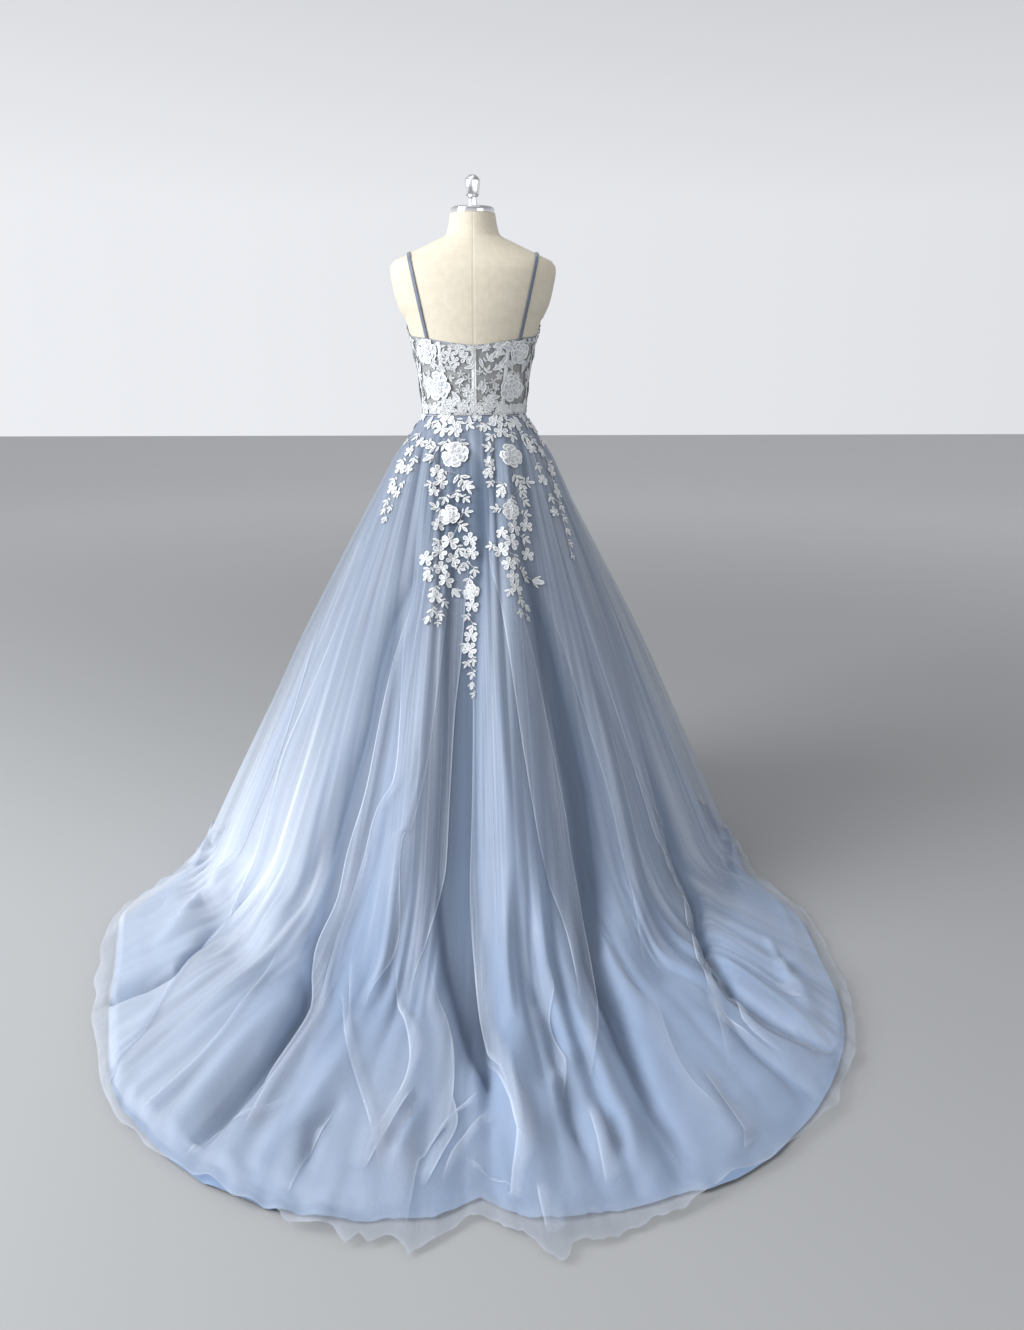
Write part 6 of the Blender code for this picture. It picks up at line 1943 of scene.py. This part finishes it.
# Lace down the skirt in the photograph: pixel, kind, half size, turn
BACK_CASCADES = (
    (424, 417, BLOSSOM, 0.010, 0), (434, 416, LEAF, 0.010, 200), (443, 416, BLOSSOM, 0.010, 30),
    (452, 416, LEAF, 0.010, 160), (461, 415, BLOSSOM, 0.010, 0), (483, 415, BLOSSOM, 0.010, 20),
    (492, 416, LEAF, 0.010, 200), (502, 415, BLOSSOM, 0.010, 0), (512, 416, LEAF, 0.010, 150),
    (521, 416, BLOSSOM, 0.010, 40), (529, 418, LEAF, 0.010, 160), (418, 419, LEAF, 0.010, 200),
    (469, 416, LEAF, 0.009, 170), (477, 418, BLOSSOM, 0.009, 0), (481, 424, TWIG, 0.011, 185),
    (440, 420, TWIG, 0.014, 200), (448, 419, BLOSSOM, 0.013, 0), (458, 420, TWIG, 0.014, 160),
    (466, 424, TWIG, 0.013, 120), (442, 430, BLOSSOM, 0.015, 20), (455, 431, BLOSSOM, 0.014, 10),
    (433, 424, TWIG, 0.012, 250), (448, 441, TWIG, 0.015, 190), (461, 441, TWIG, 0.013, 150),
    (455, 455, ROSE, 0.030, 0), (438, 447, TWIG, 0.016, 260), (434, 456, BUD, 0.013, 250),
    (431, 445, TWIG, 0.012, 290), (437, 472, BLOSSOM, 0.013, 0), (445, 472, TWIG, 0.013, 210),
    (441, 482, BLOSSOM, 0.013, 30), (433, 483, TWIG, 0.011, 250), (434, 492, BLOSSOM, 0.010, 0),
    (458, 474, SPRAY, 0.020, 150), (465, 484, TWIG, 0.013, 110), (456, 492, TWIG, 0.014, 170),
    (463, 497, TWIG, 0.011, 130), (447, 496, TWIG, 0.013, 200), (449, 515, ROSE, 0.023, 30),
    (440, 509, TWIG, 0.013, 290), (459, 524, TWIG, 0.014, 130), (463, 513, TWIG, 0.012, 80),
    (438, 525, BLOSSOM, 0.012, 0), (450, 541, BLOSSOM, 0.016, 10), (441, 541, TWIG, 0.012, 230),
    (458, 547, TWIG, 0.013, 150), (440, 553, BLOSSOM, 0.014, 20), (426, 559, BLOSSOM, 0.014, 0),
    (453, 560, BLOSSOM, 0.013, 40), (431, 568, TWIG, 0.012, 220), (441, 569, BLOSSOM, 0.013, 0),
    (428, 577, BLOSSOM, 0.010, 0), (446, 580, BLOSSOM, 0.014, 20), (452, 589, BUD, 0.012, 150),
    (436, 587, TWIG, 0.012, 190), (435, 597, BLOSSOM, 0.013, 0), (442, 601, TWIG, 0.011, 150),
    (433, 608, TWIG, 0.012, 190), (438, 613, TWIG, 0.011, 165), (429, 616, BUD, 0.010, 200),
    (437, 621, TWIG, 0.008, 180), (456, 569, TWIG, 0.011, 100), (462, 556, TWIG, 0.010, 70),
    (487, 424, TWIG, 0.013, 200), (496, 421, BLOSSOM, 0.014, 0), (506, 421, TWIG, 0.014, 170),
    (515, 424, BLOSSOM, 0.014, 30), (524, 422, TWIG, 0.013, 130), (501, 432, BLOSSOM, 0.014, 0),
    (511, 433, TWIG, 0.014, 190), (520, 434, TWIG, 0.014, 140), (493, 435, TWIG, 0.013, 230),
    (511, 456, ROSE, 0.029, 20), (493, 449, TWIG, 0.013, 280), (489, 462, BLOSSOM, 0.010, 0),
    (494, 468, TWIG, 0.011, 240), (488, 474, BLOSSOM, 0.010, 0), (492, 481, TWIG, 0.010, 200),
    (526, 446, TWIG, 0.013, 60), (513, 474, SPRAY, 0.018, 160), (524, 482, TWIG, 0.014, 100),
    (519, 490, TWIG, 0.013, 140), (504, 484, TWIG, 0.013, 200), (511, 497, TWIG, 0.013, 180),
    (522, 500, TWIG, 0.012, 130), (501, 493, BLOSSOM, 0.010, 0), (511, 511, ROSE, 0.021, 0),
    (500, 509, TWIG, 0.012, 280), (522, 514, TWIG, 0.012, 100), (526, 526, BLOSSOM, 0.012, 0),
    (514, 528, BLOSSOM, 0.014, 20), (502, 533, BLOSSOM, 0.011, 0), (511, 542, BLOSSOM, 0.015, 30),
    (521, 538, TWIG, 0.012, 130), (501, 551, BLOSSOM, 0.014, 0), (494, 545, TWIG, 0.011, 250),
    (527, 555, BLOSSOM, 0.012, 10), (514, 556, TWIG, 0.013, 180), (509, 564, BLOSSOM, 0.013, 0),
    (520, 570, TWIG, 0.012, 120), (531, 581, BUD, 0.013, 110), (523, 577, TWIG, 0.011, 140),
    (513, 577, BLOSSOM, 0.012, 0), (516, 588, BLOSSOM, 0.013, 30), (511, 589, TWIG, 0.011, 210),
    (519, 598, TWIG, 0.012, 175), (524, 605, BUD, 0.010, 150), (519, 610, TWIG, 0.010, 190),
    (526, 616, TWIG, 0.008, 160),
    (414, 427, BLOSSOM, 0.013, 0), (420, 434, TWIG, 0.013, 210), (409, 440, TWIG, 0.012, 230),
    (411, 452, BLOSSOM, 0.012, 0), (404, 459, TWIG, 0.013, 200), (401, 468, BLOSSOM, 0.013, 0),
    (396, 478, TWIG, 0.012, 200), (393, 489, BLOSSOM, 0.012, 0), (389, 499, TWIG, 0.012, 190),
    (386, 508, BUD, 0.010, 190), (421, 443, BLOSSOM, 0.011, 0), (415, 457, TWIG, 0.012, 180),
    (409, 469, BLOSSOM, 0.011, 20), (404, 482, TWIG, 0.012, 190), (398, 494, BLOSSOM, 0.010, 0),
    (392, 506, TWIG, 0.010, 180), (387, 517, BUD, 0.009, 190),
    (533, 428, BLOSSOM, 0.013, 0), (530, 438, TWIG, 0.013, 150), (540, 441, TWIG, 0.012, 130),
    (541, 452, BLOSSOM, 0.012, 0), (546, 461, TWIG, 0.013, 150), (550, 471, BLOSSOM, 0.013, 0),
    (553, 482, TWIG, 0.012, 165), (557, 493, BLOSSOM, 0.012, 0), (559, 504, TWIG, 0.012, 170),
    (562, 516, TWIG, 0.011, 160), (565, 528, BUD, 0.010, 165), (568, 541, TWIG, 0.010, 165),
    (571, 554, TWIG, 0.009, 170), (531, 449, BLOSSOM, 0.011, 0), (536, 464, TWIG, 0.012, 170),
    (542, 480, BLOSSOM, 0.011, 30), (548, 496, TWIG, 0.012, 165), (554, 512, BLOSSOM, 0.010, 0),
)
# Lace in the deep pleat at the centre of the back, partly under the tulle
CENTRE_CASCADE = (
    (470, 540, BLOSSOM, 0.014, 0), (472, 553, BLOSSOM, 0.013, 20), (467, 562, TWIG, 0.012, 200),
    (474, 568, TWIG, 0.012, 170), (470, 577, TWIG, 0.013, 190), (471, 592, ROSE, 0.018, 0),
    (472, 606, BLOSSOM, 0.013, 0), (468, 614, TWIG, 0.011, 200), (473, 624, TWIG, 0.013, 175),
    (471, 636, BLOSSOM, 0.013, 0), (467, 643, TWIG, 0.012, 210), (470, 650, BLOSSOM, 0.014, 30),
    (474, 658, TWIG, 0.011, 160), (468, 661, TWIG, 0.010, 200), (474, 671, TWIG, 0.011, 180),
    (473, 682, BUD, 0.009, 180), (475, 692, TWIG, 0.008, 180),
)
# Lace on the hidden front, the same on both sides: azimuth, height above the waist, kind, half
# size, turn
FRONT_LACE = (
    (90, 0.130, ROSE, 0.024, 0), (92, 0.050, ROSE, 0.027, 20), (103, 0.150, LEAF, 0.014, 30),
    (104, 0.100, BLOSSOM, 0.014, 0), (100, 0.020, BLOSSOM, 0.014, 10), (112, 0.185, ROSE, 0.022, 0),
    (116, 0.060, ROSE, 0.026, 15), (124, 0.110, BLOSSOM, 0.014, 0), (127, 0.020, BLOSSOM, 0.014, 20),
    (129, 0.200, ROSE, 0.026, 25), (141, 0.165, BLOSSOM, 0.014, 0), (144, 0.125, LEAF, 0.014, 60),
    (138, 0.060, LEAF, 0.014, 120), (147, 0.215, LEAF, 0.014, 300), (153, 0.185, ROSE, 0.022, 40),
    (156, 0.065, ROSE, 0.026, 30), (163, 0.130, BLOSSOM, 0.014, 0), (167, 0.165, LEAF, 0.013, 330),
    (170, 0.095, LEAF, 0.013, 20), (172, 0.035, BLOSSOM, 0.013, 10), (160, 0.015, BLOSSOM, 0.013, 0),
    (147, 0.020, LEAF, 0.013, 90), (112, 0.012, LEAF, 0.013, 90), (98, 0.170, LEAF, 0.012, 280),
    (106, 0.065, LEAF, 0.013, 200), (126, 0.150, LEAF, 0.013, 20), (118, 0.150, LEAF, 0.012, 300),
    (134, 0.090, STAR, 0.009, 0), (148, 0.095, STAR, 0.009, 30), (163, 0.100, STAR, 0.009, 10),
    (174, 0.150, STAR, 0.009, 0), (133, 0.130, STAR, 0.009, 40), (106, 0.125, STAR, 0.009, 0),
    (90, 0.090, LEAF, 0.012, 350), (90, 0.010, LEAF, 0.011, 90), (135, 0.012, LEAF, 0.012, 70),
)
# Azimuths of the cascades on the hidden front, the same on both sides
FRONT_CASCADES = (112, 149)
CASCADE_STEPS = (
    (0.006, 0.006, BLOSSOM, 0.014, 0), (0.012, -0.018, TWIG, 0.014, 240), (0.034, 0.0, ROSE, 0.026, 20),
    (0.060, 0.016, TWIG, 0.014, 130), (0.064, -0.012, TWIG, 0.014, 220), (0.080, 0.002, BLOSSOM, 0.014, 0),
    (0.100, -0.012, BLOSSOM, 0.012, 20), (0.112, 0.014, TWIG, 0.014, 140), (0.128, 0.0, ROSE, 0.020, 0),
    (0.152, 0.012, BLOSSOM, 0.012, 0), (0.160, -0.012, TWIG, 0.013, 210), (0.178, 0.0, BLOSSOM, 0.014, 30),
    (0.198, -0.012, BLOSSOM, 0.012, 0), (0.204, 0.012, TWIG, 0.013, 150), (0.222, 0.0, BLOSSOM, 0.012, 0),
    (0.240, 0.008, BUD, 0.011, 160), (0.250, -0.006, TWIG, 0.012, 200), (0.272, 0.0, BUD, 0.010, 180),
    (0.292, 0.002, TWIG, 0.008, 180),
)


@dataclass
class Lacing:
    """One piece of lace as it grows: its mesh and where its motifs lie."""

    bm: bmesh.types.BMesh
    surface: BVHTree
    clear: float
    laid: list[tuple[Vector, float]] = field(default_factory=list)


@dataclass
class LaceWork:
    """The white lace: motifs laid on the bodice and in cascades down the skirt."""

    view: PhotoView
    form: FormShape
    skirt: SkirtShape
    net: bpy.types.Object
    tulle: bpy.types.Object
    doubled: bpy.types.Object
    maker: MotifMaker = field(default_factory=MotifMaker)
    net_clear: float = 0.0016
    skirt_clear: float = 0.0012
    longest_stem: float = 0.060
    shortest_stem: float = 0.006
    rose_follows: float = 0.35
    others_follow: float = 0.6
    longest_bridge: float = 0.008
    rose_growth: float = 1.05
    twig_share: float = 0.85
    bodice_growth: float = 1.2
    cascade_growth: float = 1.32
    centre_growth: float = 1.25
    edge_spacing: float = 6.5
    tries: int = 2500
    gap_share: float = 0.66
    metres_per_row: float = 1.12
    finish: bpy.types.Material = field(init=False)

    def __post_init__(self) -> None:
        """Makes the lace's material."""
        self.finish = LaceFinish().build()

    def start(self, clear: float, *carriers: bpy.types.Object) -> Lacing:
        """Starts a piece of lace on its carriers."""
        places, faces = [], []
        for carrier in carriers:
            faces += [[len(places) + k for k in face.vertices] for face in carrier.data.polygons]
            places += [vert.co for vert in carrier.data.vertices]
        return Lacing(bmesh.new(), BVHTree.FromPolygons(places, faces), clear)

    def lay(
        self, lace: Lacing, kind: MotifKind, size: float, turn: float, place: Vector, normal: Vector,
    ) -> None:
        """Lays a motif on the carrier.

        Args:
            lace: The piece that it joins.
            kind: What it is.
            size: Half its size.
            turn: Its turn clockwise from up.
            place: Where its centre goes.
            normal: The way out of the cloth there.
        """
        up, right = cloth_axes(normal)
        hits, rises = [], []
        verts = self.maker.add(lace.bm, kind, size, turn)
        for vert in verts:
            flat = place + right * vert.co.x + up * vert.co.y
            hit = lace.surface.ray_cast(flat + normal * 0.05, -normal, 0.12)[0]
            if hit is None:
                hit = lace.surface.find_nearest(flat)[0]
            hits.append(hit)
            rises.append((hit - place).dot(normal))
        top = sorted(rises)[int(len(rises) * 0.75)]
        follow = self.rose_follows if kind is ROSE else self.others_follow
        for vert, hit, rise in zip(verts, hits, rises):
            bridge = max(0.0, top - rise) * (1 - follow)
            vert.co = hit + normal * (lace.clear + vert.co.z + min(bridge, self.longest_bridge))
        if kind is not MotifKind.STEM:
            lace.laid.append((place, size))

    def tie(self, lace: Lacing, place: Vector, normal: Vector) -> None:
        """Joins a place to the nearest motif so far with a stem."""
        near = [(place - other).length for other, _ in lace.laid]
        if not near or not self.shortest_stem < min(near) < self.longest_stem:
            return
        way = lace.laid[near.index(min(near))][0] - place
        up, right = cloth_axes(normal)
        turn = math.degrees(math.atan2(way.dot(right), way.dot(up)))
        self.lay(lace, MotifKind.STEM, way.length / 2, turn, place, normal)

    @staticmethod
    def smooth_normal(surface: BVHTree, place: Vector, aim: Vector) -> Vector:
        """The way out of a surface round a place, evened over a few centimetres."""
        total = Vector()
        side = aim.orthogonal().normalized() * 0.012
        other = aim.cross(side).normalized() * 0.012
        for step in (Vector(), side, -side, other, -other):
            normal = surface.find_nearest(place + step)[1]
            total += normal if normal.dot(aim) > 0 else -normal
        return total.normalized()

    def lay_at(
        self, lace: Lacing, kind: MotifKind, size: float, turn: float, place: Vector, aim: Vector,
        tied: bool = False,
    ) -> None:
        """Lays a motif at the nearest place on the carrier, and may tie it to its neighbour."""
        hit = lace.surface.find_nearest(place)[0]
        normal = self.smooth_normal(lace.surface, hit, aim)
        if tied:
            self.tie(lace, hit, normal)
        self.lay(lace, kind, size, turn, hit, normal)

    def lay_by_pixels(self, lace: Lacing, table: Sequence, grown: float, tied: bool) -> None:
        """Lays the motifs that the photograph shows, each under its own pixel, the small ones grown."""
        for u, v, kind, size, turn in table:
            eye, way = self.view.ray((u, v))
            hit = lace.surface.ray_cast(eye, way)[0]
            if hit is None:
                hit = lace.surface.find_nearest(eye + way * self.view.distance)[0]
            size *= {ROSE: self.rose_growth, TWIG: grown * self.twig_share}.get(kind, grown)
            self.lay_at(lace, kind, size, turn, hit, (eye - hit).normalized(), tied)

    def lay_round(
        self, lace: Lacing, kind: MotifKind, size: float, turn: float, azimuth: float, z: float,
    ) -> None:
        """Lays a motif on the bodice at an azimuth and a height."""
        place = Vector(self.form.places(azimuth, z, 0.0))
        self.lay_at(lace, kind, size, turn, place, Vector((place.x, place.y, 0)).normalized())

    def fill_bodice(self, lace: Lacing, middle: float, top_edge: Callable, seed: int) -> None:
        """Fills one half of the bodice between its larger motifs.

        Args:
            lace: The piece that is filled.
            middle: Azimuth of the middle of the half.
            top_edge: Gives the top edge's height at an azimuth.
            seed: Which uneven set of places.
        """
        draw = np.random.default_rng(seed)
        for azimuth in np.arange(middle - 88, middle + 90, self.edge_spacing):
            top = float(top_edge(np.array([azimuth]))[0])
            kind = (LEAF, BLOSSOM)[int(draw.integers(2))]
            turn = 90 * (1 if draw.random() < 0.5 else -1) + float(draw.uniform(-25, 25))
            self.lay_round(lace, kind, 0.0085, turn, azimuth, top - 0.008)
            for rise in (0.006, 0.017):
                kind = (LEAF, BLOSSOM, BLOSSOM)[int(draw.integers(3))]
                place = azimuth + float(draw.uniform(-1, 1)) + rise * 200
                self.lay_round(lace, kind, 0.0088, float(draw.uniform(0, 360)), place, WAIST_Z + rise)
        kinds = (BLOSSOM, TWIG, LEAF, TWIG)
        for _ in range(self.tries):
            azimuth = middle + float(draw.uniform(-88, 88))
            top = float(top_edge(np.array([azimuth]))[0])
            z = float(draw.uniform(WAIST_Z + 0.02, top - 0.012))
            size = float(draw.choice((0.0075, 0.009, 0.0105)))
            kind = kinds[int(draw.integers(4))]
            place = Vector(self.form.places(azimuth, z, 0.003))
            on_zip = abs(place.x) < 0.012 and place.y > 0
            gaps = ((place - other).length - self.gap_share * (size + near) for other, near in lace.laid)
            if not on_zip and all(gap > 0 for gap in gaps):
                self.lay_round(lace, kind, size, float(draw.uniform(0, 360)), azimuth, z)

    def finish_lace(self, lace: Lacing, name: str, nodes: Sequence[str]) -> bpy.types.Object:
        """Turns a finished piece of lace into an object."""
        return finish_piece(piece_from(name, lace.bm, 40.0), self.finish, nodes)

    def build_bodice_lace(self, top_edge: Callable) -> None:
        """Builds the lace on the back and on the hidden front of the bodice."""
        back = self.start(self.net_clear, self.net)
        self.lay_by_pixels(back, BACK_LACE, self.bodice_growth, False)
        self.fill_bodice(back, 0.0, top_edge, 5)
        self.finish_lace(back, "bodice_lace_back", ["lace_back_left", "lace_back_right"])
        front = self.start(self.net_clear, self.net)
        for _, way in SIDES:
            for azimuth, above, kind, size, turn in FRONT_LACE:
                self.lay_round(front, kind, size, way * turn, way * azimuth, WAIST_Z + above)
        self.fill_bodice(front, 180.0, top_edge, 6)
        self.finish_lace(front, "bodice_lace_front", ["lace_front_left", "lace_front_right"])

    def build_cascades(self) -> None:
        """Builds the cascades down the back and the hidden front of the skirt."""
        back = self.start(self.skirt_clear, self.tulle, self.doubled)
        self.lay_by_pixels(back, BACK_CASCADES, self.cascade_growth, True)
        beneath = self.start(self.skirt_clear, self.tulle)
        self.lay_by_pixels(beneath, CENTRE_CASCADE, self.centre_growth, True)
        self.finish_lace(beneath, "cascade_centre_back", ["applique_centre_back"])
        names = ("back_left", "back_right", "side_left", "side_right")
        self.finish_lace(back, "cascades_back", [f"applique_{name}" for name in names])
        front = self.start(self.skirt_clear, self.tulle, self.doubled)
        for _, way in SIDES:
            for stem in FRONT_CASCADES:
                for down, aside, kind, size, turn in CASCADE_STEPS:
                    row = down / self.metres_per_row
                    pace = float(self.skirt.metres_per_degree(np.array(way * stem), np.array(row)))
                    place = Vector(self.skirt.places(way * stem - aside / pace, row, 0.02))
                    aim = Vector((place.x, place.y, 0)).normalized()
                    self.lay_at(front, kind, size, turn, place, aim, True)
        self.finish_lace(front, "cascades_front", ["applique_front_left", "applique_front_right"])

    def build(self, top_edge: Callable) -> None:
        """Builds all the lace, and clears away the flat motifs."""
        self.build_bodice_lace(top_edge)
        self.build_cascades()
        for mesh in self.maker.flat.values():
            bpy.data.meshes.remove(mesh)


def main() -> None:
    """Builds the whole gown on its form, in order."""
    logging.basicConfig(level=logging.INFO, format="%(name)s %(message)s")
    view = PhotoView()
    view.build()
    Studio().build()
    form = FormShape()
    DressForm(form).build()
    bodice = Bodice(form)
    net = bodice.build()
    skirt = SkirtShape(form)
    folds = SkirtFolds(skirt, view)
    tulle, doubled = Skirts(skirt, folds, view).build()
    LaceWork(view, form, skirt, net, tulle, doubled).build(bodice.top_edge)


if __name__ == "__main__":
    main()
